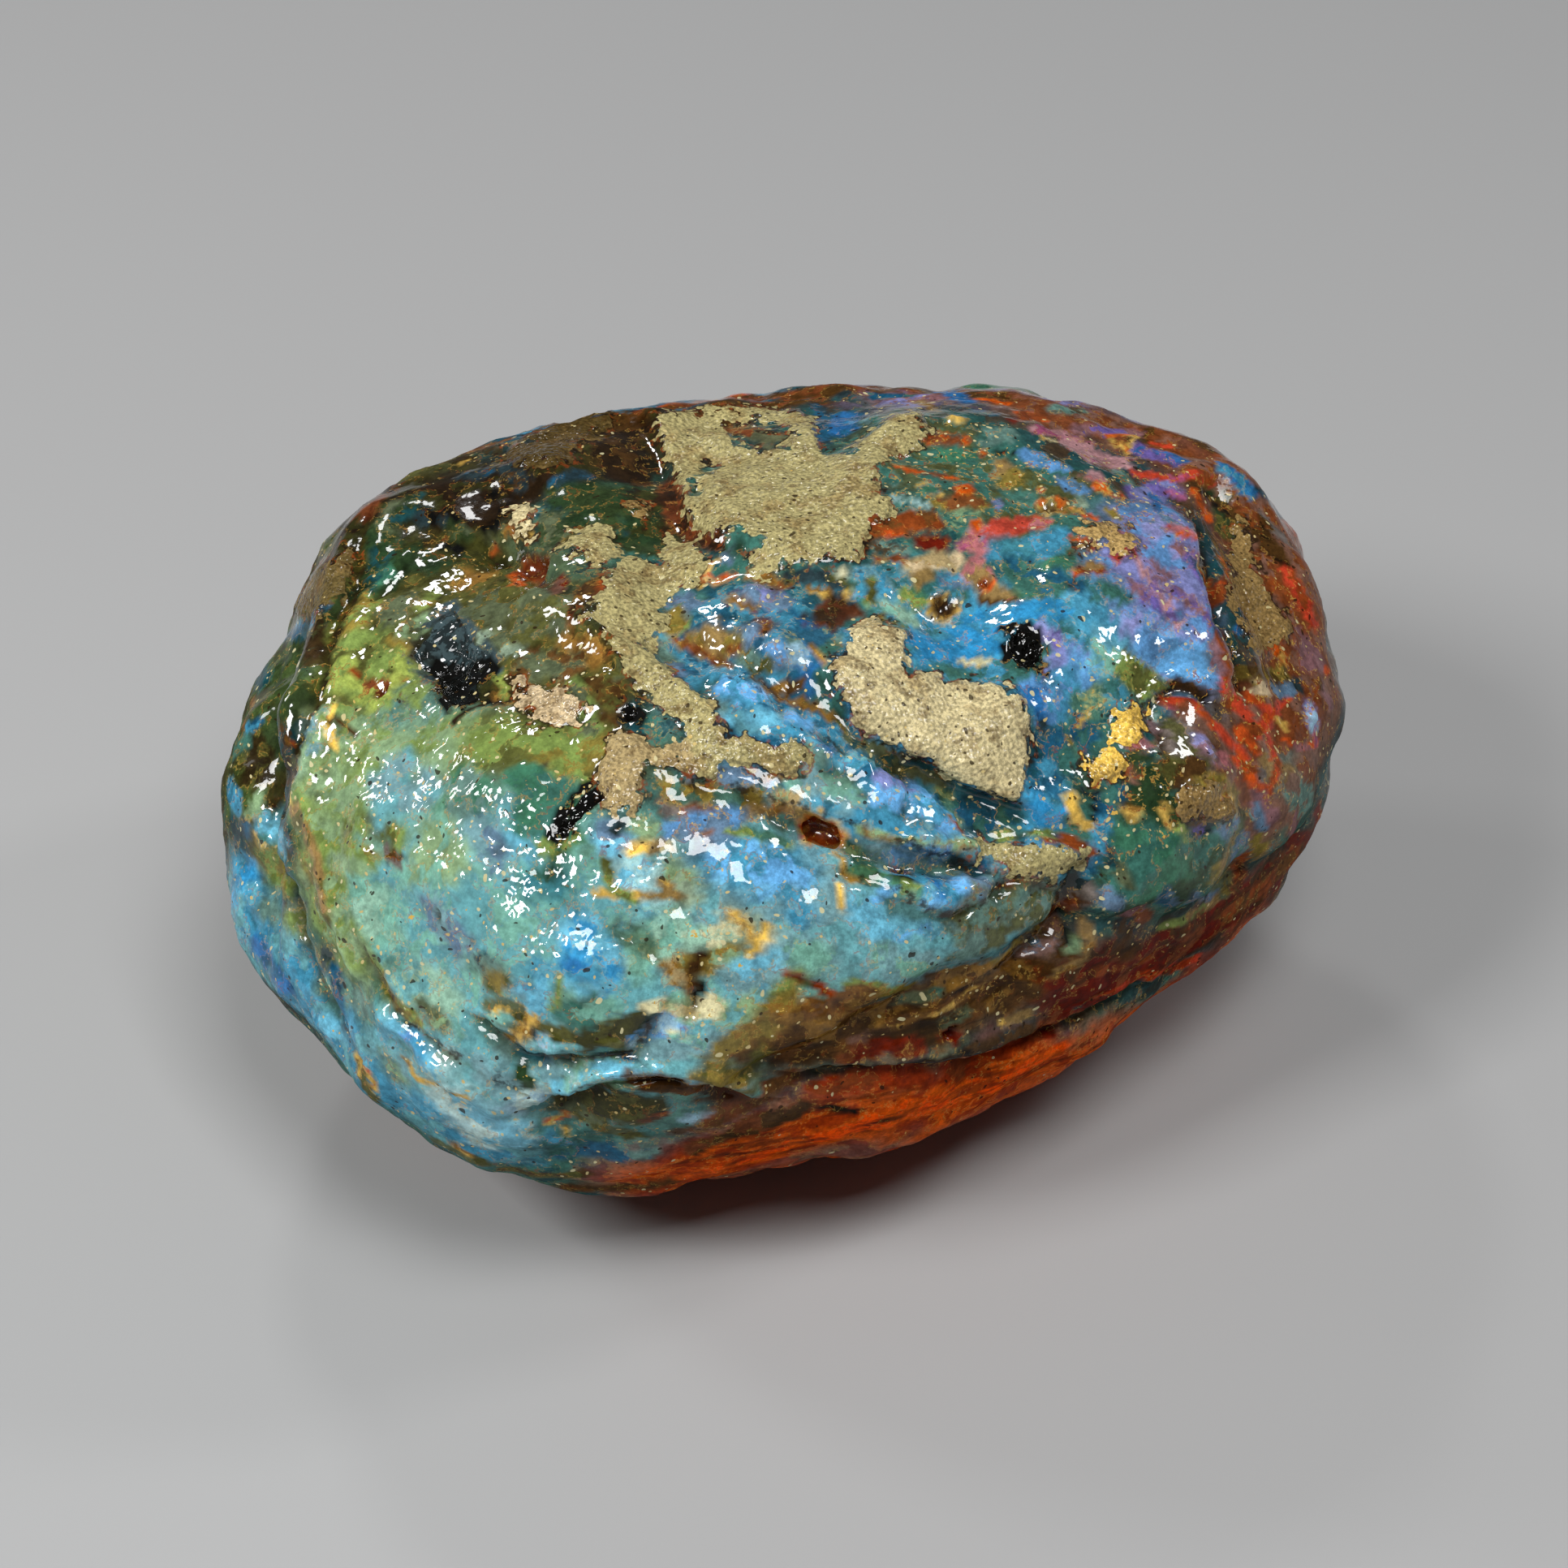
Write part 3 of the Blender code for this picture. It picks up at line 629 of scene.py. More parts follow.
vermilion upper: vermilion, red, 0.3: 1540 860, 1565 875, 1555 895
vermilion low band: vermilion, rust, 0.35: 1525 900, 1545 920, 1560 945
gold in red: gold, rust, 0.3: 1575 888, 1582 895
vermilion right: vermilion, mauve, 0.22: 1580 910, 1600 922, 1625 915
mauve by band: mauve brown, rust brown, 0.7: 1460 880, 1480 895
grey brown: grey mauve, olive, 1: 1450 905, 1440 935, 1470 935
pink by gold: pink, mauve, 0.5: 1400 925, 1410 915
white by gold: pale cyan, mauve, 0.3: 1420 880, 1425 900
hot spot: hot red, vermilion, 0.35: 1522 936, 1528 930
mauve by spot: mauve, pink, 0.6: 1505 935
violet bead: lilac, mauve, 0.6: 1482 918, 1480 932
blue bead: lilac, pale blue, 0.7: 1612 880, 1618 892
red under bead: magenta, red, 0.5: 1620 912
dark red pit: blood, rust, 0.3: 1433 905, 1434 922
tan right low: grey mauve, tan, 0.9: 1560 950, 1590 960
orange net low: vermilion, rust, 0.4: 1540 960, 1560 980, 1575 940
rust right low: rust, vermilion, 0.4: 1535 945
# The lower right
green mix: sage, teal, 0.9: 1345 862, 1325 885
blue mix: cornflower, azure, 0.8: 1310 835, 1300 870
teal by gold: deep azure, teal, 1.2: 1330 900, 1300 930
gold threads: gold, sage, 0.15: 1345 850, 1336 885, 1325 895
gold net right: olive gold, teal, 0.15: 1310 905, 1325 930, 1340 950
pit brown: umber, grey mauve, 0.6: 1440 915, 1450 940
olive brown: umber, olive, 1: 1440 945, 1470 950
bottle low: bottle, dark green, 1.2: 1400 960, 1430 990, 1440 1010, 1405 1000
mauve low left: mauve brown, umber, 0.45: 1395 955, 1385 950
gold lumps: brown gold, gold, 0.4: 1390 1000, 1400 1005
gold lumps right: gold, tan, 0.3: 1432 995, 1440 1018
tan field: tan, umber, 0.9: 1470 985, 1485 1000
tan upper: olive gold, tan, 0.6: 1480 965, 1510 975, 1520 990
yellow lump: gold, cream, 0.6: 1500 998, 1515 1000
lime spot: moss, lime, 0.35: 1455 1020, 1462 1030
deep blue low: deep azure, teal, 0.8: 1370 978, 1360 1010
deep teal blue: deep azure, deep teal, 1: 1275 920, 1285 960
azure by glow: azure, deep azure, 0.7: 1300 970, 1290 950
azure glow: bright azure, azure, 1: 1275 1000, 1300 1010
yellow spot: yellow, cream, 0.4: 1318 985, 1322 995
yellow tail: gold, tan, 0.25: 1325 1005, 1345 1022
black branch: black, slate, 0.16: 1328 972, 1350 985, 1346 1012
black branch up: black, slate, 0.14: 1350 985, 1356 968
teal field: teal, sea green, 1.6: 1400 1045, 1450 1060, 1430 1080
grey in field: grey green, teal, 0.5: 1380 1070, 1395 1085
dark in field: slate, deep teal, 0.45: 1370 1060, 1360 1035
blue streak: azure, deep azure, 0.5: 1362 1015, 1352 1045, 1340 1070
slate low: slate, grey mauve, 0.9: 1315 1095, 1340 1105
slate lobe: blue grey, slate, 0.6: 1365 1100, 1378 1115
dark violet: slate, violet, 0.35: 1475 1025, 1490 1020
slate violet: blue grey, slate, 0.6: 1470 1105, 1500 1098
blue low: deep azure, blue grey, 0.4: 1435 1100, 1440 1115
mauve low: rust brown, mauve, 0.7: 1395 1120, 1410 1130
slate base: slate, umber, 0.5: 1380 1135, 1395 1150
gold rim low: tan, moss, 0.3: 1430 1143, 1462 1130, 1500 1108
olive low right: grey green, olive gold, 0.8: 1500 1075, 1510 1090
grey teal right: blue grey, grey teal, 0.8: 1510 1020, 1530 1050
sage low right: grey green, tan, 0.5: 1505 1065, 1530 1010
pinkish right: mauve, pink, 0.6: 1548 985, 1568 1008
pale right: blue grey, pale blue, 0.45: 1556 1020, 1550 1000
mauve right: mauve brown, mauve, 0.8: 1590 1000, 1595 1020
grey end: grey teal, mauve brown, 0.9: 1590 970, 1610 985
rust hollow: rust, dark umber, 0.5: 1532 1055, 1527 1082
olive gold right: olive gold, tan, 0.5: 1548 1035, 1552 1055
vermilion rim: rust, dark red, 0.6: 1590 1035, 1618 1025, 1625 1000
rim brown low: brown, rust, 0.9: 1590 1060, 1550 1095, 1500 1135
# The folds across the middle
azure band: azure, sky, 0.7: 905 885, 960 893, 1010 908, 1040 932
azure band pale: bright blue, grey cyan, 0.5: 970 885, 1000 895
azure band deep: cobalt, azure, 0.4: 1010 915, 1030 925
olive seam: olive, brown gold, 0.22: 985 862, 1020 880, 1045 902
deep middle: deep azure, teal, 0.6: 1012 830, 1024 856
grey under slab: grey green, deep teal, 0.55: 1050 915, 1100 935, 1165 955
teal below strip: grey teal, sage, 0.6: 1005 930, 1010 940
cyan under slab: azure, cyan, 0.5: 1050 935, 1080 940
teal line: teal, slate, 0.3: 1000 948, 1100 950
slate under strip: blue grey, slate, 0.6: 850 968, 900 955, 940 965
orange under strip: rust, tan, 0.25: 945 958, 975 955
mottled brown: grey mauve, rust brown, 0.9: 830 990, 880 1000
moss under strip: olive gold, teal, 0.6: 820 970, 900 985, 930 985
seafoam fold: grey cyan, seafoam, 0.9: 990 960, 1040 970, 1060 995
cream fold: tan sand, sage, 0.4: 960 980, 985 985
olive arc: tan, brown gold, 0.35: 900 1008, 930 1000, 965 996, 990 1002
moss arc: moss, teal, 0.4: 900 1020, 940 1030, 970 1040
violet fold: mauve brown, blue grey, 0.6: 850 1010, 880 1010, 870 1025
blue grey fold: blue grey, cornflower, 0.6: 830 1020, 910 1005
pit ring: gold, tan, 1.0: 1002 1020, 1022 1032
pit glow: orange, gold, 0.8: 1002 1020, 1022 1032
pit well: rust, blood, 0.5: 1008 1024, 1020 1030
yellow crust: yellow, gold, 0.4: 1045 1070, 1055 1082
yellow tail left: gold, tan, 0.18: 1030 1052, 1045 1065
yellow crust low: yellow, cream, 0.25: 1033 1090, 1040 1120
azure lobe: bright blue, azure, 1.1: 1085 975, 1130 990, 1160 1012
lobe top: cornflower, periwinkle, 0.6: 1085 962, 1120 966
lobe shade left: azure, grey cyan, 0.7: 1060 1010, 1090 1020, 1130 1025
sage ridge: sage, tan, 0.3: 1060 1022, 1100 1035, 1170 1047, 1200 1042
pale under ridge: cornflower, grey cyan, 0.4: 1080 1048, 1130 1052, 1160 1055
teal under ridge: teal, sage, 0.4: 1050 1045, 1060 1055
rust dashes: rust, gold, 0.2: 1175 990, 1200 1010
rust dashes low: rust, brown gold, 0.2: 1165 1012, 1185 1030
sage by lobe: sage, teal, 0.4: 1165 975, 1180 1010
deep teal azure: deep azure, teal, 1.1: 1200 1000, 1235 1025
deep below ridge: deep azure, slate, 0.5: 1175 1062, 1215 1070
lip back: rust, umber, 0.35: 1285 1038, 1315 1036, 1345 1048
lip olive: moss, olive, 0.4: 1230 1032, 1290 1028
lip under: umber, olive, 0.45: 1250 1088, 1285 1092
lip mauve: rust brown, slate, 0.3: 1230 1090, 1268 1085
cobalt lobe: azure, cobalt, 0.9: 1120 1085, 1150 1095, 1170 1110
cobalt pale: bright blue, cornflower, 0.5: 1165 1085, 1180 1100
cobalt grey: blue grey, cornflower, 0.7: 1195 1092, 1210 1100
slate by cobalt: slate, violet, 0.3: 1105 1068, 1120 1075
lobe shade: black, deep azure, 0.2: 1150 1122, 1175 1127, 1190 1113, 1215 1111, 1226 1096
green ledge: moss, sea green, 0.4: 1055 1070, 1080 1082, 1110 1095, 1130 1110
green deep: teal, sea green, 0.4: 1060 1060, 1080 1065
ledge slit: black, bottle, 0.13: 1080 1075, 1095 1080, 1122 1092
cyan lobe: sky, cyan, 1.6: 1070 1115, 1110 1140, 1150 1150
cyan bright: sky, bright blue, 0.8: 1090 1105, 1120 1138, 1150 1130
cyan lobe low: seafoam, grey cyan, 0.9: 1090 1185, 1150 1185
grey olive: grey green, grey teal, 1.3: 1200 1130, 1250 1118, 1280 1105
grey olive low: grey teal, olive, 0.8: 1190 1170, 1230 1150
lobe edge: umber, olive gold, 0.35: 1300 1112, 1280 1140, 1245 1165, 1210 1190
rust beyond: rust brown, umber, 0.6: 1322 1115, 1305 1130
# The middle of the lobe
dark dimple: slate, deep azure, 0.35: 757 1022, 765 1015
yellow dashes: gold, yellow, 0.3: 775 1047, 800 1040
cream dashes left: cream, tan, 0.35: 805 1045, 825 1042
tan dabs: gold, tan, 0.2: 810 1085, 840 1105, 735 1100
olive arc left: moss, olive, 0.25: 745 1060, 750 1090, 780 1112
azure low deep spot: azure, cobalt, 0.5: 705 1195, 735 1200
mint small: mint, cream, 0.5: 870 1150, 850 1160, 900 1145
gold cluster: gold, tan, 0.25: 905 1125, 925 1145, 930 1170
gold cluster right: gold, yellow, 0.22: 945 1140, 935 1165, 920 1178
brown crease: umber, brown gold, 0.35: 862 1175, 852 1200, 850 1225
brown by crease: brown gold, tan sand, 0.5: 835 1205, 825 1190
cream crease: cream, sage, 0.55: 820 1238, 850 1245, 880 1240
cream left: cream, seafoam, 0.35: 795 1240, 810 1235
slit: black, slate, 0.2: 868 1215, 855 1238
rust specks: rust, gold, 0.25: 968 1200, 985 1207
orange crease: rust, orange, 0.25: 1000 1210, 1018 1222, 1040 1242
olive shore: olive gold, moss, 0.5: 1050 1215, 1090 1222, 1140 1220
# The front left
gold crest line: tan, olive, 0.4: 367 1000, 385 1040, 400 1090, 410 1130
lobe brown: umber, grey mauve, 0.45: 478 1050, 488 1060
yellow side: sage, moss, 0.5: 450 1070, 410 1060
left teal bump: teal, gold, 0.5: 325 1035, 350 1060
left tip: sky, cyan, 0.4: 277 1105
left dark slate: deep azure, slate, 0.5: 415 1200, 420 1240, 425 1265
crease olive: moss, olive gold, 0.4: 460 1180, 475 1225, 515 1260
blue slant: cornflower, azure, 0.5: 505 1275, 520 1292
olive patch low: grey green, gold, 0.5: 610 1235, 640 1245
moss by azure: moss, seafoam, 0.3: 688 1205, 680 1240
gold net: gold, tan, 0.18: 500 1305, 515 1330, 545 1338, 580 1348
rim orange: gold, orange, 0.35: 455 1322, 462 1340
rim olive: olive, gold, 0.5: 440 1310, 460 1350, 480 1380
rim green: olive, grey green, 0.4: 500 1392, 540 1405, 600 1432
rim gold low: brown gold, gold, 0.28: 560 1408, 578 1420
rim olive front: olive, umber, 0.5: 620 1440, 660 1446, 720 1448
# The small bubbles and the fold over the front
bubble olive: olive, dark olive, 0.7: 645 1262, 700 1275
bubble orange: brown gold, gold, 0.35: 632 1285, 660 1255
bubble blue: pale blue, cyan, 0.42: 668 1278, 690 1287
bubble deep: slate, deep azure, 0.3: 663 1273
azure by bubble: azure, cornflower, 0.45: 650 1300, 668 1306
dark by bubble: bottle, dark olive, 0.5: 640 1320, 650 1335
teal over fold: teal, seafoam, 0.8: 720 1255, 700 1245, 735 1240
shadow olive: dark olive, olive, 1: 735 1280, 765 1275, 785 1265
shadow line: black, dark olive, 0.2: 700 1304, 740 1303, 775 1297
blue beside: cornflower, pale blue, 0.6: 790 1285, 820 1262, 835 1268
blue dab: cobalt, cornflower, 0.25: 770 1310, 785 1302
sage cream: sage, cream, 0.7: 830 1285, 850 1290
grey cyan side: grey cyan, seafoam, 0.7: 800 1300, 880 1280
fold top: cyan, sky, 0.5: 690 1338, 740 1322, 800 1318, 860 1325
fold top right: grey cyan, grey teal, 0.4: 880 1328, 920 1338
fold white: pale cyan, seafoam, 0.3: 720 1310, 700 1335
lid: dark olive, olive, 1.3: 720 1362, 760 1360, 790 1370
lid green: olive, grey green, 0.7: 690 1360, 740 1385, 780 1395
lid brown: umber, brown, 1: 790 1338, 840 1348, 900 1358
lid orange: gold, orange, 0.22: 680 1383, 700 1376
lid rust: rust, umber, 0.4: 795 1378, 815 1372
lid blue: grey cyan, pale blue, 0.35: 845 1380, 870 1377, 893 1370
lid grey: grey mauve, umber, 0.5: 830 1395, 880 1385
below lid: grey teal, grey mauve, 0.6: 770 1410, 820 1405
sea below lid: deep azure, grey teal, 0.5: 760 1425, 800 1420
gold below lid: gold, olive, 0.15: 695 1390, 705 1402
# The belt and the underside
slope gold: olive gold, brown gold, 0.9: 890 1290, 930 1270, 970 1240
slope olive: olive gold, olive, 0.9: 870 1320, 910 1325, 940 1300
slope brown: brown, rust brown, 1: 880 1380, 930 1350, 970 1330
slope low: umber, rust brown, 0.8: 860 1415, 920 1390, 990 1365
belt gold: brown gold, brown, 0.9: 980 1255, 1020 1245, 1060 1235
belt brown: umber, brown gold, 0.9: 990 1275, 1060 1258, 1140 1215, 1210 1190
belt teal: grey green, teal, 0.4: 1110 1232, 1150 1222
belt grains: gold, brown, 0.22: 1080 1272, 1120 1258, 1165 1240, 1205 1218, 1235 1195
belt grey: grey green, umber, 0.5: 1110 1288, 1150 1262, 1185 1248
belt mauve: mauve brown, umber, 0.5: 1050 1285, 1085 1272
belt rust: rust brown, dark red, 0.6: 1040 1300, 1090 1290, 1130 1290
belt tan: tan, gold, 0.3: 1235 1258, 1265 1248
belt slate: slate, umber, 0.6: 1190 1300, 1240 1280, 1290 1258
belt umber: umber, brown gold, 0.7: 1230 1235, 1270 1215, 1240 1180
belt shade: dark umber, black, 0.4: 1000 1318, 1060 1318, 1130 1310, 1190 1300
belt pit: dark red, deep orange, 0.55: 1168 1272, 1176 1275
blood slope: dark red, rust brown, 1.4: 1290 1265, 1330 1225, 1420 1185, 1485 1155
red streak: deep orange, red, 0.5: 1335 1240, 1400 1205, 1470 1185
red streak up: rust, dark red, 0.35: 1350 1200, 1420 1178
streak grey: slate, dark red, 0.25: 1320 1240, 1360 1225
mound: blue grey, mauve brown, 0.6: 1272 1166, 1290 1158
mound top: mauve brown, umber, 0.4: 1285 1145, 1300 1140
mound green: grey teal, sage, 0.4: 1318 1168, 1325 1158
mound crack: black, slate, 0.2: 1306 1132, 1320 1160
mound rim: brown gold, tan, 0.3: 1335 1135, 1345 1160, 1330 1185, 1300 1200
base red: deep orange, rust, 0.8: 1010 1340, 1100 1330, 1200 1320
base orange: glow, orange, 0.9: 930 1428, 1000 1402, 1100 1372, 1200 1345, 1300 1300
base glow: glow, orange, 0.7: 1060 1390, 1150 1365, 1250 1330
base front: glow, orange, 0.5: 840 1450, 900 1432, 960 1425
base spot: dark umber, black, 0.3: 1015 1364, 1040 1367, 1060 1370
base spot right: dark umber, rust, 0.2: 1070 1388, 1085 1382, 1110 1376
""")

PATCHES = listed(Patch, """
olive patch: moss, olive: 1385 800, 1400 810, 1420 825, 1435 845, 1420 855, 1405 870, 1390 850, 1370 830
lobe tip: grey teal, olive: 1255 1095, 1305 1092, 1296 1120, 1265 1145, 1240 1150
""")

# The black and slate chips
CHIPS = listed(Crust, """
big chip: chip grey: 535 765, 558 752, 570 772, 582 790, 602 806, 604 822, 570 834, 545 836, 526 826,
510 812,
  514 796, 526 784
big chip low: black: 540 824, 572 832, 602 822, 586 842, 592 858, 566 874, 546 858
black pit: black: 1240 770, 1255 775, 1275 785, 1280 800, 1283 822, 1270 812, 1260 820, 1248 810, 1248 795
black slit: black: 748 968, 742 982, 722 995, 708 1014, 686 1027, 700 1002, 716 982, 730 972
black hole: black: 772 868, 782 874, 784 886, 778 892, 770 886, 768 876
""")

# The crust
CRUSTS = listed(Crust, """
slab: sand: 1052 775, 1065 768, 1078 765, 1090 772, 1118 780, 1112 795, 1115 812, 1122 828, 1145 832,
  1160 838, 1190 843, 1220 843, 1235 850, 1250 852, 1262 865, 1268 885, 1265 905, 1266 930, 1262 950,
  1258 970, 1253 988, 1240 985, 1225 980, 1205 972, 1190 965, 1175 962, 1165 955, 1155 945, 1140 935,
  1120 930, 1110 922, 1095 915, 1080 915, 1065 905, 1055 895, 1048 880, 1045 865, 1035 850, 1025 830,
  1030 815, 1042 800, 1045 785
top crust: olive sand: 800 515, 810 530, 815 545, 825 565, 835 590, 845 610, 845 630, 860 650, 880 660,
  915 655, 938 668, 920 685, 925 700, 935 710, 950 712, 962 700, 985 692, 1010 692, 1052 695, 1062 680,
  1068 660, 1075 645, 1095 640, 1098 620, 1085 605, 1078 590, 1080 570, 1100 565, 1125 560, 1145 540,
  1140 520, 1130 505, 1090 520, 1075 535, 1060 548, 1050 560, 1030 562, 1010 558, 1005 540, 1000 515,
  980 505, 900 500, 880 505, 815 510
strip: olive sand: 745 700, 760 690, 785 685, 800 700, 815 700, 818 665, 830 658, 845 660, 860 670,
868 690,
  865 710, 850 722, 835 728, 820 740, 810 745, 822 758, 818 772, 808 785, 790 790, 800 800, 820 825,
  840 840, 870 862, 885 880, 888 900, 895 910, 930 905, 950 920, 975 908, 985 915, 997 930, 985 950,
  955 955, 940 945, 900 938, 885 940, 888 950, 880 958, 865 965, 850 962, 845 950, 835 945, 830 935,
  832 920, 845 905, 835 890, 820 880, 800 860, 785 845, 775 830, 765 815, 752 790, 745 775, 735 765,
  718 763, 715 755, 722 742, 745 728, 748 712
foot: tan sand: 745 930, 738 945, 740 965, 745 985, 752 1000, 770 1005, 785 1000, 792 985, 785 970,
  790 955, 800 945, 845 952, 840 925, 800 925, 790 912, 770 905, 752 912
fleck: pink sand: 632 834, 645 836, 662 842, 690 846, 710 856, 722 872, 720 886, 700 890, 680 892,
662 888, 650 878,
  640 862, 634 848
lip: olive sand: 1190 1045, 1205 1035, 1215 1040, 1260 1042, 1290 1045, 1320 1050, 1338 1045, 1335 1062,
  1320 1070, 1300 1080, 1295 1092, 1285 1082, 1245 1080, 1235 1068, 1225 1062, 1205 1058
crevice: tan: 1525 640, 1540 660, 1545 700, 1555 720, 1575 750, 1590 770, 1585 790, 1570 800, 1560 810,
  1545 800, 1530 770, 1518 740, 1512 700, 1515 670
left crust: dull tan: 425 675, 440 680, 435 700, 420 735, 400 735, 395 755, 370 760, 363 748, 375 720,
395 700,
  410 690
cream blob: sand: 625 630, 650 620, 658 640, 650 665, 635 655
left rim crust: dark tan: 620 560, 655 535, 700 520, 755 508, 750 528, 712 545, 705 570, 640 574
upper crust: olive sand: 722 655, 735 648, 750 650, 755 665, 765 680, 760 690, 740 695, 715 685, 690 672,
  700 660
island: tan: 775 625, 785 615, 800 625, 803 635, 790 640
right island: pale tan: 1330 650, 1345 645, 1380 650, 1395 660, 1405 675, 1390 685, 1370 680, 1355 670,
1330 675
orange upper: yellow: 1375 880, 1385 875, 1400 870, 1410 872, 1413 885, 1410 900, 1400 915, 1385 918,
  1370 912, 1366 900, 1372 888
orange lower: yellow: 1330 935, 1342 935, 1355 930, 1365 925, 1378 925, 1388 935, 1385 950, 1375 955,
  1365 960, 1360 965, 1345 960, 1343 950
tan lump: tan: 1452 975, 1470 962, 1498 965, 1505 985, 1520 1000, 1505 1012, 1480 1008, 1462 1012,
1450 1000
""")

# Gaps in the crust
HOLES = listed(Hole, """
rust hole: 893 522, 925 518, 960 526, 978 536, 968 552, 940 556, 905 548
teal hole: 848 598, 862 594, 872 604, 866 616, 852 614
brown hole: 862 570, 878 566, 886 576, 876 588, 864 584
oval hole: 905 668, 925 662, 940 672, 934 686, 914 686
""")

# Crust where the photo doesn't show it, by place, reaches in mm
FAR_CRUSTS = listed(Blot, """
back slab: sand, 3.2: 72 24, 58 14, 48 2
back strip: olive sand, 1.5: 104 26, 118 14, 126 2, 136 -4
back foot: pink sand, 2: 88 0, 80 -10
end crust: tan, 1.5: 12 2, 6 -8, 2 -20
low crust: olive sand, 1.8: 20 -34, 38 -30
left low crust: tan, 1.4: 158 -12, 166 -28
""")

# Folds and creases of the skin, rise and width in mm
FOLDS = listed(Fold, """
azure fold: 0.4, 0.7: 900 850, 950 880, 1010 912, 1060 940
groove under slab: -0.35, 0.4: 1000 905, 1060 933, 1130 955, 1200 985, 1255 1005
azure lobe: 0.45, 0.9: 1085 968, 1130 988, 1165 1018
drape ridge: 0.3, 0.35: 1000 1000, 1060 1027, 1130 1038, 1200 1045
drape groove: -0.35, 0.4: 960 1010, 1050 1050, 1110 1070, 1180 1075
lip ridge: 0.3, 0.45: 1190 1042, 1260 1042, 1330 1050
lip groove: -0.35, 0.35: 1185 1066, 1240 1085, 1295 1098
ledge groove: -0.35, 0.3: 1050 1074, 1090 1088, 1130 1114
lobe jag: -0.45, 0.3: 1150 1124, 1175 1129, 1190 1116, 1226 1100
cobalt lobe: 0.45, 0.7: 1115 1092, 1155 1105, 1205 1098
strip fold: 0.25, 0.6: 780 800, 830 850, 885 900
strip crack: -0.35, 0.25: 750 820, 780 840, 800 870
crest furrow: -0.25, 0.6: 450 640, 440 740, 410 780, 395 860, 365 920, 350 990
crest ridge: 0.3, 0.6: 490 690, 450 740, 430 790, 420 860, 385 920, 375 980, 390 1060, 412 1130, 440 1200
left groove: -0.45, 0.5: 335 1000, 362 1100, 380 1180, 415 1250
left lump high: 0.5, 0.9: 340 1025
left lump mid: 0.5, 1.1: 300 1105
left lump low: 0.45, 1: 350 1195
left lump rim: 0.4, 0.8: 400 1265
lower crease: -0.18, 0.35: 450 1180, 500 1262, 560 1300, 640 1345, 690 1345
lower fold: 0.3, 0.5: 470 1250, 540 1320, 610 1365
bubble bump: 0.55, 0.45: 682 1286
groove under lobe: -0.5, 0.4: 600 1262, 655 1305, 720 1307, 780 1297, 800 1262
lid ridge: 0.4, 0.4: 690 1345, 740 1328, 800 1320, 880 1330, 930 1345
lid groove: -0.4, 0.35: 700 1358, 760 1340, 830 1338, 900 1352
belt groove: -0.4, 0.4: 1000 1322, 1100 1318, 1200 1302, 1300 1265, 1400 1215
belt ridge: 0.25, 0.4: 1080 1262, 1160 1238, 1240 1192, 1300 1150
mound: 0.5, 0.8: 1285 1160
mound crack: -0.4, 0.22: 1305 1132, 1320 1158
lobe edge: -0.4, 0.4: 1312 1092, 1305 1125, 1275 1155, 1240 1186
crevice: -0.5, 0.5: 1475 640, 1490 700, 1500 760, 1520 800, 1530 850
shoulder edge: -0.4, 0.3: 1425 862, 1440 848, 1460 843, 1490 857
bumps a: 0.45, 0.5: 930 732
bumps b: 0.45, 0.5: 958 808
bumps c: 0.4, 0.5: 925 778
bumps d: 0.35, 0.45: 880 785
bumps e: 0.35, 0.35: 985 750
gold bead: 0.4, 0.45: 1175 520
violet bead: 0.35, 0.5: 1482 925
blue bead: 0.4, 0.5: 1614 886
yellow lump: 0.45, 0.5: 1508 998
blue dimple wall: 0.3, 0.6: 745 1040, 780 1045
lobe dimple: -0.35, 0.7: 680 1070
lobe dimple low: -0.3, 0.6: 770 1150, 800 1165
sky swell: 0.35, 1.2: 785 1090
azure swell: 0.35, 1.2: 715 1175
blue swell: 0.3, 1.4: 930 1080
crease down: -0.4, 0.3: 865 1170, 858 1210, 850 1245
gold crease: -0.25, 0.3: 975 1203, 1015 1218, 1042 1245
""")

# Ledges of the skin, in mm: high on the left of someone who walks along the line in the photo
LEDGES = listed(Ledge, """
lid: 0.55, 1.6: 680 1352, 740 1330, 800 1322, 880 1332, 935 1348
belt: 0.6, 1.8: 1000 1320, 1100 1316, 1200 1300, 1300 1265, 1400 1215
lobe end: 0.6, 1.6: 1195 1208, 1240 1184, 1272 1154, 1302 1124, 1310 1092
crest: 0.22, 1.6: 455 640, 440 740, 412 780, 396 860, 366 920, 350 990
strip: 0.4, 1.4: 845 955, 832 890, 775 830, 738 768
fold under strip: 0.45, 1.4: 880 962, 960 985, 1040 1010, 1120 1040, 1190 1060
slab side: 0.4, 1.2: 1030 850, 1055 897, 1130 937, 1200 972, 1252 990
cobalt: 0.5, 1.2: 1110 1108, 1150 1123, 1175 1128, 1190 1114, 1215 1112, 1228 1096
green: 0.4, 1: 1045 1068, 1080 1085, 1110 1100, 1132 1116
azure: 0.45, 1.4: 890 840, 940 862, 1000 890, 1040 925
crevice: 0.35, 1.4: 1532 856, 1520 800, 1500 760, 1490 700, 1475 640
shoulder: 0.5, 1.4: 1400 876, 1430 856, 1442 846, 1460 841, 1492 857
lower left: 0.2, 1.4: 448 1170, 500 1262, 560 1300, 640 1345
under lobe: 0.5, 1.4: 600 1262, 655 1303, 720 1306, 780 1296, 802 1260
left foot: 0.45, 1.4: 360 1080, 382 1150, 410 1230, 440 1290
field: 0.35, 1.4: 600 870, 560 868, 545 855, 520 820, 512 800
top trough: 0.45, 1.6: 800 520, 830 590, 850 650, 900 665
olive step: 0.35, 1.4: 760 780, 700 740, 640 715, 600 690
""")
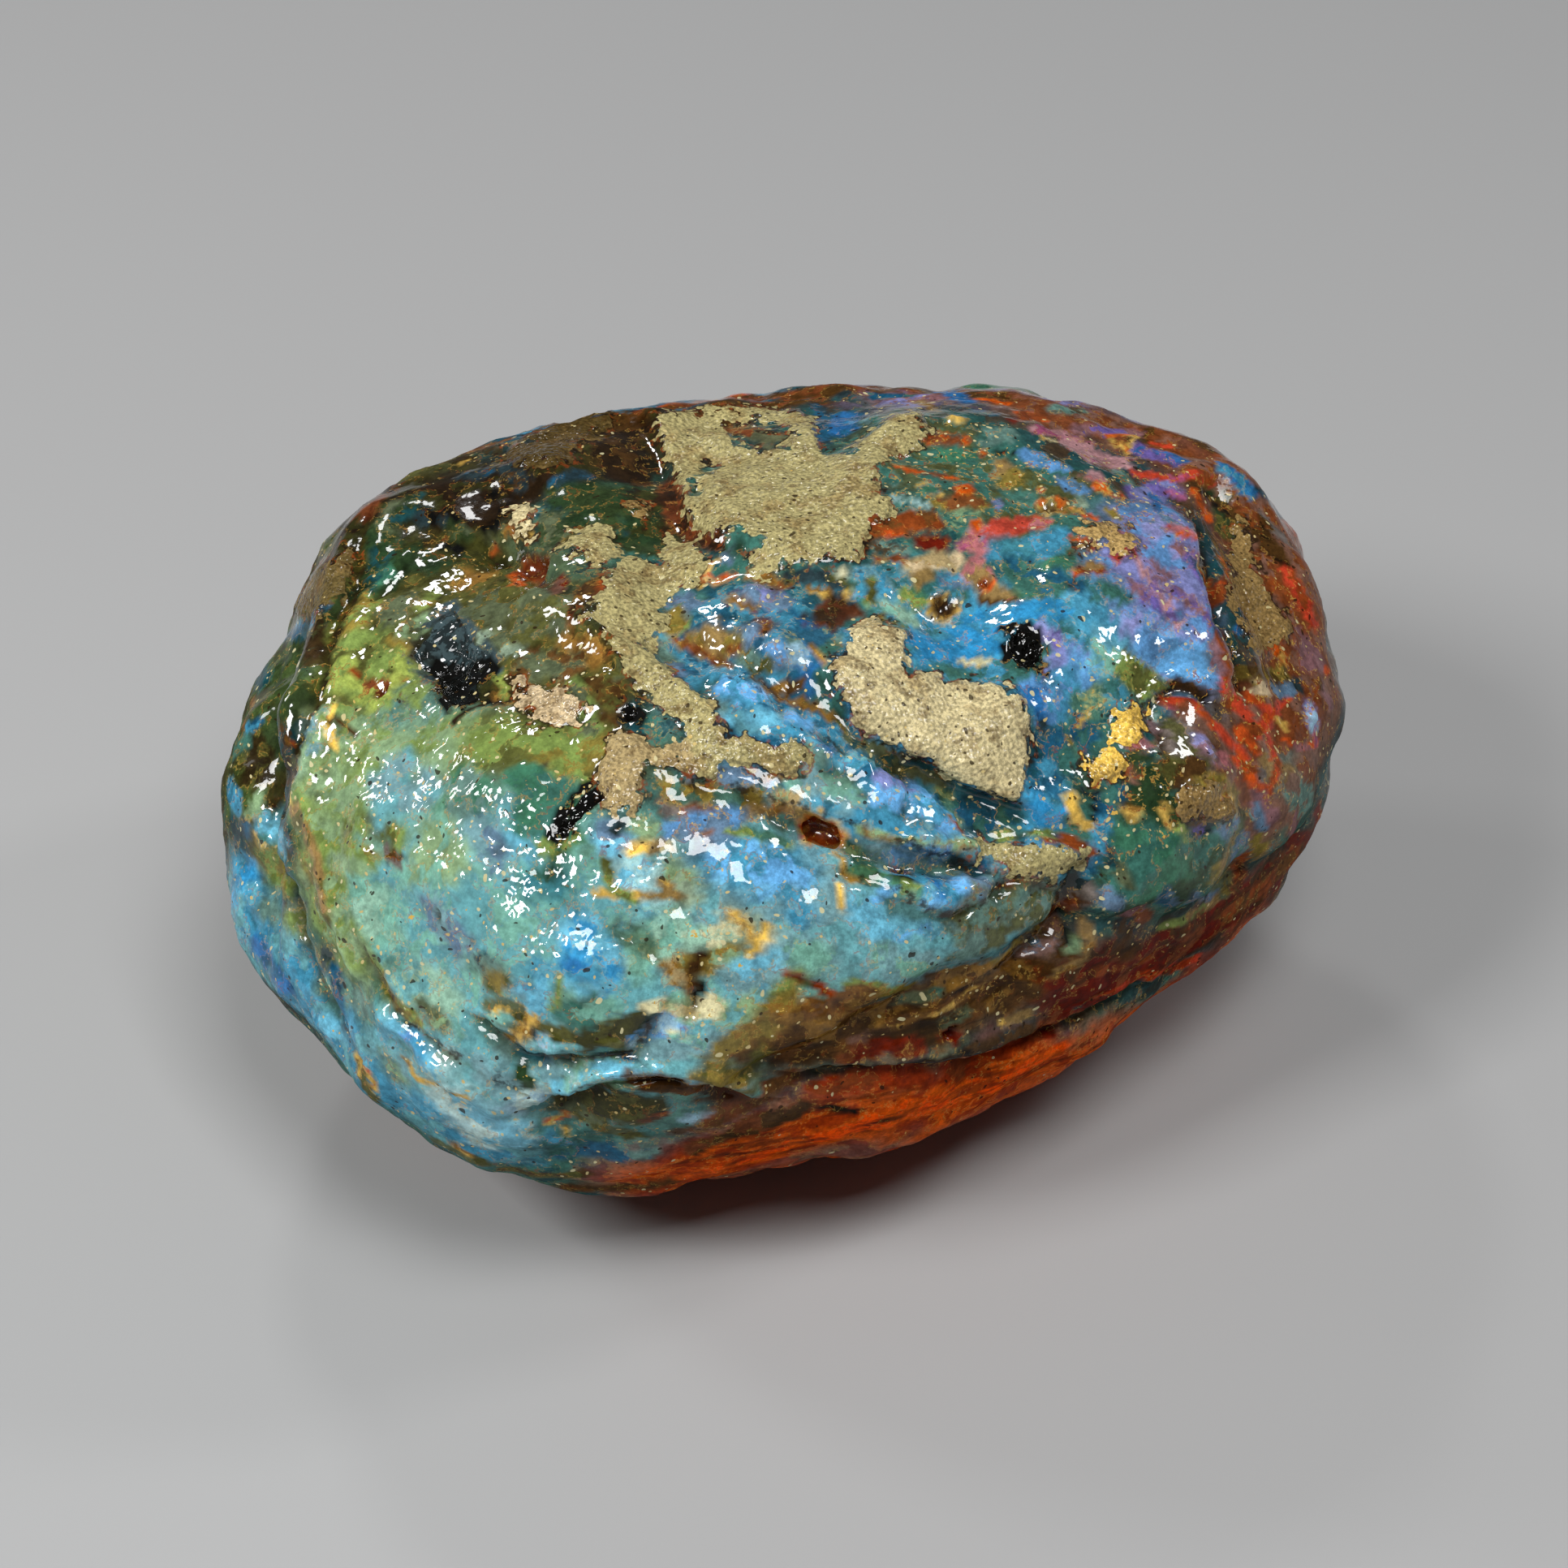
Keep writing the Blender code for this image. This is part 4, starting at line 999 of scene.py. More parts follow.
# Where the folds run, by photo point, from one end of the middle to the other
FLOW = [(830, 820), (1300, 1045)]

# Pits and bubbles; depth, radius and rim in mm
PITS = listed(Pit, """
glossy pit: 0.35, 0.7, 0.1: 648 694, 668 700
brown bubble: 0.35, 0.65, 0.14: 1163 748
brown pit: 0.65, 0.75, 0.16: 1003 1022, 1020 1032
right bubble: 0.35, 0.55, 0.14: 1290 625, 1300 625
black pit: 0.8, 0.6, 0: 1256 785, 1266 806
black hole: 0.6, 0.4, 0: 776 880
black slit: 0.5, 0.4, 0.08: 742 976, 712 1000, 692 1021
belt pit: 0.6, 0.5, 0.1: 1172 1272
slit: 0.35, 0.3, 0: 866 1218, 856 1236
lobe pit: 0.35, 0.35, 0.06: 540 1128
dark red pit: 0.45, 0.35, 0.05: 1433 908, 1434 920
teal hole: 0.4, 0.45, 0: 858 605
big chip: 0.2, 1.3, 0: 552 800, 568 840
rust pit: 0.4, 0.45, 0.12: 1215 718
blue pit: 0.35, 0.4, 0.06: 760 1025
end pit: 0.4, 0.4, 0.06: 1530 1070
far left pit: 0.4, 0.45, 0.08: 470 850
""")

# How much of something there is, by photo point: amount 0 to 1, reaches in mm
# GOLD also sets the pale specks, which are partly painted glints
GOLD = (0.34, listed(Spread, """
lobe: 0.55, 5: 460 1050, 500 1200, 600 1300
clusters: 0.95, 1.4: 850 1150, 900 1165, 860 1230
top right: 0.8, 4: 1200 560, 1330 580, 1420 620
middle: 0.55, 4: 950 780, 1100 960, 1240 1020
lower right: 0.9, 2: 1350 880, 1370 960, 1420 1000
belt: 0.9, 1.2: 1080 1262, 1160 1238, 1240 1200
crest: 0.7, 1.6: 400 880, 380 1000, 400 1120
cyan lobe: 0.1, 2.6: 1080 1140, 1160 1150
top left: 0.12, 4: 480 640, 600 620, 760 560, 760 640
flank: 0.15, 3: 340 780, 320 900
underside: 0.03, 4: 900 1430, 1100 1380, 1300 1300, 1450 1200
"""))
GLINT = (0.4, listed(Spread, """
lobe: 1, 6: 530 980, 600 1080, 680 1180
lower left: 1, 3: 520 1320, 600 1370
middle: 0.3, 4: 900 1080, 1000 1100, 860 1160
bumps: 0.9, 1: 950 810, 1050 1010
top left: 0.16, 3.6: 400 740, 440 660, 500 640, 600 620, 720 620
flank: 0.12, 2.4: 350 780, 320 880, 310 960
lower right end: 0.2, 3: 1460 900, 1560 940
cyan lobe: 0.12, 2.6: 1080 1150, 1200 1140
shoulder: 0.2, 2.6: 1420 760
underside: 0.2, 4: 900 1430, 1100 1380, 1300 1300, 1450 1200
"""))
CLEAR = (0.06, listed(Spread, """
underside: 0.05, 4: 860 1440, 1000 1390, 1200 1340, 1400 1260, 1500 1180
belt: 0.15, 2.2: 980 1250, 1120 1240, 1280 1200, 1440 1160
lid: 0.2, 1.4: 760 1370, 840 1360
top left: 0.15, 3: 470 620, 600 600, 760 560
brown pit: 0.25, 0.8: 1003 1022, 1020 1032
glossy pit: 0.2, 0.9: 645 692, 665 700
brown bubble: 0.4, 0.6: 1163 748
right bubble: 0.6, 0.5: 1295 625
smooth brown: 0.6, 1: 1015 765, 1045 755
"""))
VEINS = (0.4, listed(Spread, """
top right: 0.8, 4: 1130 580, 1280 600, 1420 600
right end: 0.9, 3.5: 1520 850, 1560 920, 1600 800
lower right: 0.7, 2.4: 1350 900, 1400 1000
crest: 0.6, 1.8: 450 760, 420 860
folds: 0.6, 1.6: 850 990, 960 1000
"""))
WRINKLED = (0.3, listed(Spread, """
middle: 1, 6: 860 760, 1000 900, 1200 1020
field: 0.8, 4.5: 560 720, 700 800
lobe: 0.15, 4.5: 560 1020, 660 1140
cyan lobe: 0.05, 2.8: 1080 1140, 1200 1130
belt: 1, 2.4: 980 1300, 1120 1260, 1280 1220, 1440 1160
"""))
STREAKS = (0, listed(Spread, """
underside: 1, 3.2: 860 1440, 1000 1390, 1200 1340, 1400 1240, 1500 1180
belt: 1, 1.8: 960 1290, 1120 1260, 1280 1220, 1440 1160, 1560 1080
shoulder: 0.7, 2: 1430 760, 1450 810
"""))
WET = (1, listed(Spread, """
right end: 0.25, 5: 1600 720, 1620 860, 1590 1000, 1540 1080
belt: 0.15, 3: 1000 1290, 1150 1260, 1300 1220, 1440 1160
underside: 0.02, 4: 900 1430, 1100 1380, 1300 1300, 1450 1200
left rim: 0.04, 2.6: 470 600, 380 690, 320 800, 285 950, 270 1080, 300 1180
top rim: 0.04, 2: 520 580, 640 530, 800 497, 1000 482, 1200 488, 1400 530, 1560 610
front rim: 0.2, 1.6: 420 1340, 520 1420, 680 1460, 860 1450
top left: 0.45, 3.4: 400 740, 450 660, 520 640, 600 620, 720 620
flank: 0.4, 2: 350 780, 330 860
"""))


def toward(azimuth, elevation):
    """The unit vector from the stone to a viewer at these angles."""
    a, e = math.radians(azimuth), math.radians(elevation)
    return Vector((math.sin(a) * math.cos(e), -math.cos(a) * math.cos(e), math.sin(e)))


def direction(place):
    """The unit vector from the stone's middle towards a place."""
    longitude, latitude = (math.radians(angle) for angle in place)
    level = math.cos(latitude)
    return Vector((level * math.cos(longitude), level * math.sin(longitude), math.sin(latitude)))


def make_camera():
    lens = bpy.data.cameras.new("camera")
    lens.lens = LENS
    lens.sensor_width = SENSOR
    lens.clip_start = CLIP_START
    camera = bpy.data.objects.new("camera", lens)
    bpy.context.scene.collection.objects.link(camera)
    back = toward(AZIMUTH, ELEVATION)
    camera.location = AIM + back * DISTANCE
    camera.rotation_mode = "QUATERNION"
    camera.rotation_quaternion = (-back).to_track_quat("-Z", "Y")
    bpy.context.scene.camera = camera
    bpy.context.view_layer.update()
    return camera


def light(name, place, size, watts):
    """A square lamp that faces the stone."""
    lamp = bpy.data.lights.new(name, "AREA")
    lamp.size = size
    lamp.energy = watts
    holder = bpy.data.objects.new(name, lamp)
    bpy.context.scene.collection.objects.link(holder)
    holder.location = place
    holder.rotation_mode = "QUATERNION"
    holder.rotation_quaternion = (LIT_POINT - Vector(place)).to_track_quat("-Z", "Y")


def linear(tone):
    """A tone as linear colour."""
    share = np.array(TONES[tone]) / 255
    return np.where(share > 0.04045, ((share + 0.055) / 1.055) ** 2.4, share / 12.92)


def globe():
    """A ball of nearly even square faces, and the direction of each of its points."""
    bpy.ops.mesh.primitive_cube_add(size=2)
    cube = bpy.context.object
    cube.name = "amber"
    finer = cube.modifiers.new("finer", "SUBSURF")
    finer.subdivision_type = "SIMPLE"
    finer.levels = SUBDIVISIONS
    graph = bpy.context.evaluated_depsgraph_get()
    coarse, cube.data = cube.data, bpy.data.meshes.new_from_object(cube.evaluated_get(graph))
    bpy.data.meshes.remove(coarse)
    cube.modifiers.clear()
    spots = np.tan(points_of(cube.data) * math.pi / 4)
    return cube, spots / np.linalg.norm(spots, axis=1)[:, None]


def points_of(mesh):
    found = np.empty(len(mesh.vertices) * 3)
    mesh.vertices.foreach_get("co", found)
    return found.reshape(-1, 3)


def set_points(mesh, points):
    mesh.vertices.foreach_set("co", points.ravel())
    mesh.update()


def normals_of(mesh):
    found = np.empty(len(mesh.vertices) * 3, np.float32)
    mesh.vertex_normals.foreach_get("vector", found)
    return found.reshape(-1, 3).astype(float)


def edges_of(mesh):
    found = np.empty(len(mesh.edges) * 2, np.int32)
    mesh.edges.foreach_get("vertices", found)
    return found.reshape(-1, 2)


def smoothed(values, edges, rounds):
    """Each value drawn towards its neighbours' mean, some times over."""
    here, there = np.concatenate([edges, edges[:, ::-1]]).T
    counts = np.bincount(here, minlength=len(values))[:, None]
    for _ in range(rounds):
        sums = np.stack([np.bincount(here, column[there], len(values)) for column in values.T], axis=1)
        values = (1 - PULL) * values + PULL * sums / counts
    return values


def onto_solid(directions, solid):
    """Where rays from the middle of the solid leave it."""
    rays = directions * (np.array(high) - np.array(low))
    return np.array([solid.ray_cast(middle, Vector(ray).normalized())[0] for ray in rays])


def noises(points, size, seed, octaves=3):
    """Smooth noise, about -1 to 1, with lumps of this size in mm."""
    shift = Vector(SEED_STEP) * seed
    return np.array([noise.fractal(Vector(p) + shift, 1.0, 2.0, octaves) for p in points / (size * MM)])


def from_line(points, line):
    """Distance from each point to a line of points."""
    line = np.array(line)
    if len(line) == 1:
        return np.linalg.norm(points - line[0], axis=1)
    least = np.full(len(points), np.inf)
    for start, end in zip(line, line[1:]):
        step = end - start
        share = np.clip((points - start) @ step / (step @ step), 0, 1)[:, None]
        least = np.minimum(least, np.linalg.norm(points - start - share * step, axis=1))
    return least


def steps(value, start, end):
    """0 at start, 1 at end, and smooth between."""
    share = np.clip((value - start) / (end - start), 0, 1)
    return share * share * (3 - 2 * share)


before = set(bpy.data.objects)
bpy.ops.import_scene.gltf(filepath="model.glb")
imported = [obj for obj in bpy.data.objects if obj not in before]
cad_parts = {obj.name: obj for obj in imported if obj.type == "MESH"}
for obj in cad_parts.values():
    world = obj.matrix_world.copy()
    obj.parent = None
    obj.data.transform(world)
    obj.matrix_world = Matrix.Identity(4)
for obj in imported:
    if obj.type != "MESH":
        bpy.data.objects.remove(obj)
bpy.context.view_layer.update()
low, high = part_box("amber_nodule")
middle = (Vector(low) + Vector(high)) / 2
camera = make_camera()
solid = BVHTree.FromObject(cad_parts["amber_nodule"], bpy.context.evaluated_depsgraph_get())
stone, directions = globe()
edges = edges_of(stone.data)
base = smoothed(onto_solid(directions, solid), edges, SMOOTHING_ROUNDS)
set_points(stone.data, base)
surface = BVHTree.FromObject(stone, bpy.context.evaluated_depsgraph_get())
eye = np.array(camera.location)
right, up = (np.array(camera.matrix_world.col[i][:3]) for i in (0, 1))
back = np.array(toward(AZIMUTH, ELEVATION))
FOCAL = LENS / SENSOR * PHOTO_SIDE


def seen_at(point):
    """The spot on the stone that is seen at a photo point, or its rim where the point is just off it."""
    across, down = (np.array(point) - PHOTO_SIDE / 2) / FOCAL
    ray = Vector(right * across - up * down - back)
    spot = surface.ray_cast(Vector(eye), ray.normalized())[0]
    if spot is None:
        spot = surface.find_nearest(Vector(eye) + ray * DISTANCE)[0]
    return np.array(spot)


def placed_at(place):
    """The spot on the stone at a place."""
    return np.array(surface.ray_cast(middle, direction(place))[0])


def in_photo(points):
    """The photo points where these spots would be seen."""
    offset = points - eye
    depth = -(offset @ back)
    return np.stack([offset @ right, -(offset @ up)], axis=1) / depth[:, None] * FOCAL + PHOTO_SIDE / 2


def beside(spots, line):
    """How far to the left of a line in the photo each photo point is, negative to its right, in mm."""
    least = np.full(len(spots), np.inf)
    side = np.zeros(len(spots))
    for start, end in zip(np.array(line, float), np.array(line[1:], float)):
        step = end - start
        gap = spots - start
        share = np.clip(gap @ step / (step @ step), 0, 1)[:, None]
        length = np.linalg.norm(gap - share * step, axis=1)
        turn = gap[:, 0] * step[1] - gap[:, 1] * step[0]
        closer = length < least
        side = np.where(closer, np.copysign(length, turn), side)
        least = np.minimum(least, length)
    return side / PHOTO_SCALE


def inside(spots, outline):
    """How far inside an outline each photo point is, negative outside, in mm."""
    corners = np.array(outline, float)
    least = np.full(len(spots), np.inf)
    within = np.zeros(len(spots), bool)
    for start, end in zip(corners, np.roll(corners, -1, axis=0)):
        step = end - start
        share = np.clip((spots - start) @ step / (step @ step), 0, 1)[:, None]
        least = np.minimum(least, np.linalg.norm(spots - start - share * step, axis=1))
        crosses = (start[1] > spots[:, 1]) != (end[1] > spots[:, 1])
        height = step[1] if step[1] else 1.0
        within ^= crosses & (spots[:, 0] < start[0] + step[0] * (spots[:, 1] - start[1]) / height)
    return np.where(within, least, -least) / PHOTO_SCALE


normals = normals_of(stone.data)
facing = ((eye - base) * normals).sum(axis=1) > 0
photo_points = in_photo(base)
broad_stray = np.stack([noises(base, BROAD_SIZE, seed) for seed in (1, 2, 3)], axis=1)
fine_stray = np.stack([noises(base, FINE_SIZE, seed, octaves=4) for seed in (4, 5, 6)], axis=1)


def reached(line, reach, softness):
    """The points that a stroke of this reach in mm may touch, and how fully it covers each."""
    line = np.array(line)
    margin = (reach * MARGIN_SHARE + MARGIN) * MM
    in_box = (base > line.min(axis=0) - margin) & (base < line.max(axis=0) + margin)
    near = np.flatnonzero(np.all(in_box, axis=1))
    stray = broad_stray[near] * min(MOST_BROAD, reach * BROAD_SHARE)
    stray = stray + fine_stray[near] * min(MOST_FINE, reach * FINE_SHARE)
    gap = from_line(base[near] + stray * MM, line) / MM
    return near, steps(gap, reach * (1 + softness), reach * (1 - softness))


def spread(field):
    """The amount of something at every point, from its ordinary amount and where it differs."""
    ordinary, spots = field
    amounts = np.full(len(base), float(ordinary))
    for spot in spots:
        near, share = reached([seen_at(p) for p in spot.points], spot.reach, SPREAD_SOFTNESS)
        amounts[near] += share * (spot.amount - amounts[near])
    return amounts


def outlined(outline):
    """How far inside an outline each point is, in mm, and well outside on the side away from the camera."""
    return np.where(facing, inside(photo_points, outline), -FAR)


def painted():
    """The first and the second tone of the amber at every point."""
    tint = np.tile(linear("teal"), (len(base), 1))
    second = np.tile(linear("deep teal"), (len(base), 1))
    layers = (
        (placed_at, AROUND, AROUND_SOFTNESS),
        (seen_at, WASHES, WASH_SOFTNESS),
        (seen_at, STROKES, STROKE_SOFTNESS),
    )
    for where, strokes, softness in layers:
        for stroke in strokes:
            near, share = reached([where(p) for p in stroke.points], stroke.reach, softness)
            share = share[:, None]
            tint[near] += share * (linear(stroke.tone) - tint[near])
            second[near] += share * (linear(stroke.second) - second[near])
    for patch in PATCHES:
        share = steps(outlined(patch.outline) + 0.1 * fine_stray[:, 0], -0.12, 0.12)[:, None]
        tint += share * (linear(patch.tone) - tint)
        second += share * (linear(patch.second) - second)
    return tint, second


def crusted():
    """How far inside the crust every point is, in mm, and the tone of the sand there."""
    crust = np.full(len(base), -FAR)
    grit = np.tile(linear("sand"), (len(base), 1))
    for patch in CRUSTS:
        depth_in = outlined(patch.outline)
        grit[depth_in > -TONE_MARGIN] = linear(patch.tone)
        crust = np.maximum(crust, depth_in)
    for hole in HOLES:
        crust = np.minimum(crust, -outlined(hole.outline))
    for blot in FAR_CRUSTS:
        line = [placed_at(p) for p in blot.points]
        depth_in = blot.reach - from_line(base + (broad_stray * 1.6 + fine_stray * 0.5) * MM, line) / MM
        grit[depth_in > -TONE_MARGIN] = linear(blot.tone)
        crust = np.maximum(crust, depth_in)
    return crust, grit


def chipped(tint):
    """How far inside a chip every point is, in mm. The chips' tones go over the amber's."""
    chip = np.full(len(base), -FAR)
    for patch in CHIPS:
        depth_in = outlined(patch.outline)
        tint[depth_in > -TONE_MARGIN] = linear(patch.tone)
        chip = np.maximum(chip, depth_in)
    return chip


def swollen(glint, wrinkled):
    """The rise of the skin's lumps and wrinkles, which have no place of their own, in mm."""
    swell = SWELL * noises(base, SWELL_SIZE, seed=11)
    dimples = (DIMPLE + GLINT_DIMPLE * glint) * noises(base, DIMPLE_SIZE, seed=12)
    ripples = RIPPLE * glint * noises(base, RIPPLE_SIZE, seed=13, octaves=2)
    flow = seen_at(FLOW[1]) - seen_at(FLOW[0])
    flow /= np.linalg.norm(flow)
    shrunk = base - WRINKLE_STRETCH * np.outer(base @ flow, flow)
    wrinkles = WRINKLE * wrinkled * noises(shrunk, WRINKLE_SIZE, seed=15)
    return swell + dimples + ripples + wrinkles


def add_folds(rise):
    for fold in FOLDS:
        near, share = reached([seen_at(p) for p in fold.points], fold.width, FOLD_SOFTNESS)
        rise[near] += fold.rise * share


def add_ledges(rise):
    """Adds the ledges, and gives how far every point is from the nearest one, in mm."""
    crease = np.full(len(base), FAR)
    for ledge in LEDGES:
        line = [seen_at(p) for p in ledge.points]
        gap = from_line(base + 0.25 * MM * fine_stray, line) / MM
        near = np.flatnonzero((gap < LEDGE_SPAN * ledge.reach) & facing)
        side = beside(photo_points[near] + PHOTO_SCALE * 0.15 * fine_stray[near, :2], ledge.points)
        step = np.tanh(side / LEDGE_EDGE) * np.exp(-((gap[near] / ledge.reach) ** 2))
        rise[near] += 0.5 * ledge.rise * step
        crease = np.minimum(crease, gap)
    return crease


def add_pits(rise):
    for pit in PITS:
        line = np.array([seen_at(p) for p in pit.points])
        gap = from_line(base + 0.1 * MM * fine_stray, line) / MM / pit.radius
        bowl = np.clip(1 - gap * gap, 0, 1) ** BOWL_POWER
        rim = np.exp(-(((gap - RIM_AT) / RIM_WIDTH) ** 2))
        rise += pit.rim * rim - pit.depth * bowl


def turned(depth, turn):
    """How much a turn of the tones shows at each depth."""
    return steps(depth, turn.start, turn.end) * turn.most


def shaded(tones, hollow, valley, on_crust):
    """Painted shade and light: the tones made browner in the hollows, where shade falls, and lighter on the
    rises, where light falls.
    """
    shade = np.maximum(turned(hollow, HOLLOW_SHADE), turned(valley, VALLEY_SHADE))
    shade = (shade * (1 - on_crust))[:, None] * (1 - linear("hollow"))
    painted_lift = 1 + (turned(-hollow, CREST_PAINTED_LIGHT) + turned(-valley, RIDGE_PAINTED_LIGHT))[:, None]
    return (colours * (1 - shade) * painted_lift for colours in tones)


def give(mesh, name, values):
    """Stores values on the mesh's points for the material to read."""
    if values.ndim == 1:
        mesh.attributes.new(name, "FLOAT", "POINT").data.foreach_set("value", values.astype(np.float32))
        return
    colours = np.concatenate([values, np.ones((len(values), 1))], axis=1).astype(np.float32)
    mesh.attributes.new(name, "FLOAT_COLOR", "POINT").data.foreach_set("color", colours.ravel())


tint, second = painted()
crust, grit = crusted()
chip = chipped(tint)
fields = GOLD, GLINT, CLEAR, VEINS, STREAKS, WRINKLED
gold, glint, clear, veins, streaks, wrinkled = (spread(field) for field in fields)
low_side = steps(-normals[:, 2], *LOW_SIDE)
clear += low_side * (CLEAR_BELOW - clear)
gold *= 1 - LESS_GOLD_BELOW * low_side
streaks = np.maximum(streaks, low_side)
wet = spread(WET) * (WET_BELOW + (1 - WET_BELOW) * steps(normals[:, 2], *WET_SIDE))

rise = swollen(glint, wrinkled)
add_folds(rise)
crease = add_ledges(rise)
add_pits(rise)
# Depths of the hollows and valleys, which set the painted shade and light in the tones
near_mean = smoothed(rise[:, None], edges, HOLLOW_ROUNDS)
hollow = near_mean[:, 0] - rise
valley = smoothed(near_mean, edges, VALLEY_ROUNDS)[:, 0] - near_mean[:, 0]
on_crust = steps(crust + 0.15 * fine_stray[:, 1], -0.15, 0.15)
lumps = CRUST_LUMP * noises(base, CRUST_LUMP_SIZE, seed=14)
rise += on_crust * (CRUST_HEIGHT + lumps + CRUST_GRAIN * fine_stray[:, 2])
set_points(stone.data, np.clip(base + normals * rise[:, None] * MM, low, high))
# The tones get painted shade in the hollows and painted light on the rises
tint, second = shaded((tint, second), hollow, valley, on_crust)
attributes = dict(tint=tint, second=second, grit=grit, crust=crust, chip=chip, gold=gold, glint=glint,
                  clear=clear, veins=veins, streaks=streaks, crease=crease, wet=wet)
for name, values in attributes.items():
    give(stone.data, name, values)


class Nodes:
    """Builds a material's nodes in few words."""

    def __init__(self, material):
        self.tree = material.node_tree

    def add(self, kind, inputs=None, **settings):
        node = self.tree.nodes.new(kind)
        for name, value in settings.items():
            setattr(node, name, value)
        for name, value in (inputs or {}).items():
            self.feed(node.inputs[name], value)
        return node

    def feed(self, socket, value):
        if isinstance(value, bpy.types.NodeSocket):
            self.tree.links.new(value, socket)
        else:
            socket.default_value = value

    def attribute(self, name, output="Fac"):
        return self.add("ShaderNodeAttribute", attribute_name=name).outputs[output]

    def noise(self, place, size, detail, roughness, output="Fac"):
        """Noise with lumps of this size in mm."""
        inputs = {"Vector": place, "Scale": 1 / (size * MM), "Detail": detail, "Roughness": roughness}
        return self.add("ShaderNodeTexNoise", inputs).outputs[output]

    def spread(self, value, start, end, least=0.0, most=1.0):
        """Least at start, most at end, and smooth between."""
        inputs = {"Value": value, "From Min": start, "From Max": end, "To Min": least, "To Max": most}
        return self.add("ShaderNodeMapRange", inputs, interpolation_type="SMOOTHSTEP").outputs["Result"]

    def ramp(self, value, start, end):
        """0 at start and 1 at end, by the shortest way."""
        inputs = {"Value": value, "From Min": start, "From Max": end}
        return self.add("ShaderNodeMapRange", inputs).outputs["Result"]

    def math(self, operation, *values):
        return self.add("ShaderNodeMath", dict(enumerate(values)), operation=operation).outputs[0]

    def times(self, one, other):
        return self.math("MULTIPLY", one, other)

    def vector(self, operation, one, other):
        node = self.add("ShaderNodeVectorMath", {0: one}, operation=operation)
        self.feed(node.inputs["Scale" if operation == "SCALE" else 1], other)
        return node.outputs[0]

    def mix(self, share, one, other, blend="MIX"):
        node = self.add("ShaderNodeMix", data_type="RGBA", blend_type=blend)
        for name, value in zip(("Factor_Float", "A_Color", "B_Color"), (share, one, other)):
            self.feed(next(s for s in node.inputs if s.identifier == name), value)
        return next(s for s in node.outputs if s.identifier == "Result_Color")

    def dimmed(self, skin, share):
        """A colour times a share."""
        grey = self.add("ShaderNodeCombineColor", {0: share, 1: share, 2: share}).outputs[0]
        return self.mix(1.0, skin, grey, "MULTIPLY")


def colour(tone):
    return (*linear(tone), 1)


Lumps = namedtuple("Lumps", "place warped broad middling grain")


def lumps_of(nodes):
    """The noises that the parts of the material share."""
    place = nodes.add("ShaderNodeTexCoord").outputs["Object"]
    drift = nodes.noise(place, size=1.1, detail=1, roughness=0.5, output="Color")
    warped = nodes.vector("ADD", place, nodes.vector("SCALE", drift, 0.9 * MM))
    broad = nodes.noise(warped, size=2.0, detail=4, roughness=0.64)
    middling = nodes.noise(place, size=0.75, detail=3, roughness=0.68)
    grain = nodes.noise(place, size=0.22, detail=2, roughness=0.7)
    return Lumps(place, warped, broad, middling, grain)


def amber_colour(nodes, lumps):
    """The amber's own two tones, their lighter and darker lumps, and the dark streaks below."""
    second_share = nodes.spread(lumps.broad, 0.47, 0.56, most=0.9)
    skin = nodes.mix(second_share, nodes.attribute("tint", "Color"), nodes.attribute("second", "Color"))
    lumpy = nodes.spread(lumps.middling, 0.3, 0.7, least=0.6, most=1.34)
    value = nodes.times(lumpy, nodes.spread(lumps.grain, 0.3, 0.7, least=0.84, most=1.16))
    calm = nodes.times(nodes.attribute("glint"), 0.45)
    value = nodes.add("ShaderNodeMix", {0: calm, 2: value, 3: 1.02}).outputs[0]
    skin = nodes.dimmed(skin, value)
    turned = {"Vector": lumps.place, "Scale": (0.22, 0.5, 1.3), "Rotation": (0, 0, 0.35)}
    along = nodes.add("ShaderNodeMapping", turned).outputs[0]
    streak = nodes.spread(nodes.noise(along, size=1.1, detail=3, roughness=0.6), 0.5, 0.62)
    streak = nodes.times(streak, nodes.times(nodes.attribute("streaks"), 0.6))
    return nodes.mix(streak, skin, colour("dark umber"))


def with_threads(nodes, lumps, skin):
    """Threads and flakes of gold and rust, and painted shade: dark umber along the creases of the ledges.
    """
    thread = nodes.math("ABSOLUTE", nodes.math("SUBTRACT", lumps.broad, 0.49))
    thread = nodes.times(nodes.spread(thread, 0.018, 0.006), nodes.spread(lumps.middling, 0.44, 0.54))
    thread = nodes.times(thread, nodes.attribute("veins"))
    metal = nodes.mix(nodes.spread(lumps.middling, 0.5, 0.6), colour("gold"), colour("rust"))
    skin = nodes.mix(thread, skin, metal)
    flake = nodes.math("MULTIPLY_ADD", nodes.attribute("gold"), 0.1, lumps.middling)
    skin = nodes.mix(nodes.spread(flake, 0.76, 0.78), skin, colour("gold"))
    # Painted shade: dark umber along each ledge, where its higher side shades the lower
    crease_shade = nodes.math("MULTIPLY_ADD", lumps.middling, 0.9, nodes.attribute("crease"))
    return nodes.mix(nodes.spread(crease_shade, 0.68, 0.45, most=0.8), skin, colour("dark umber"))


def with_chips(nodes, lumps, skin):
    """The black chips, and the share of chip."""
    edge = nodes.spread(lumps.middling, 0.2, 0.8, least=-0.14, most=0.14)
    chip = nodes.spread(nodes.math("ADD", nodes.attribute("chip"), edge), -0.04, 0.04)
    black_share = nodes.spread(lumps.middling, 0.46, 0.54, most=0.75)
    black = nodes.mix(black_share, nodes.attribute("tint", "Color"), colour("black"))
    return nodes.mix(chip, skin, black), chip


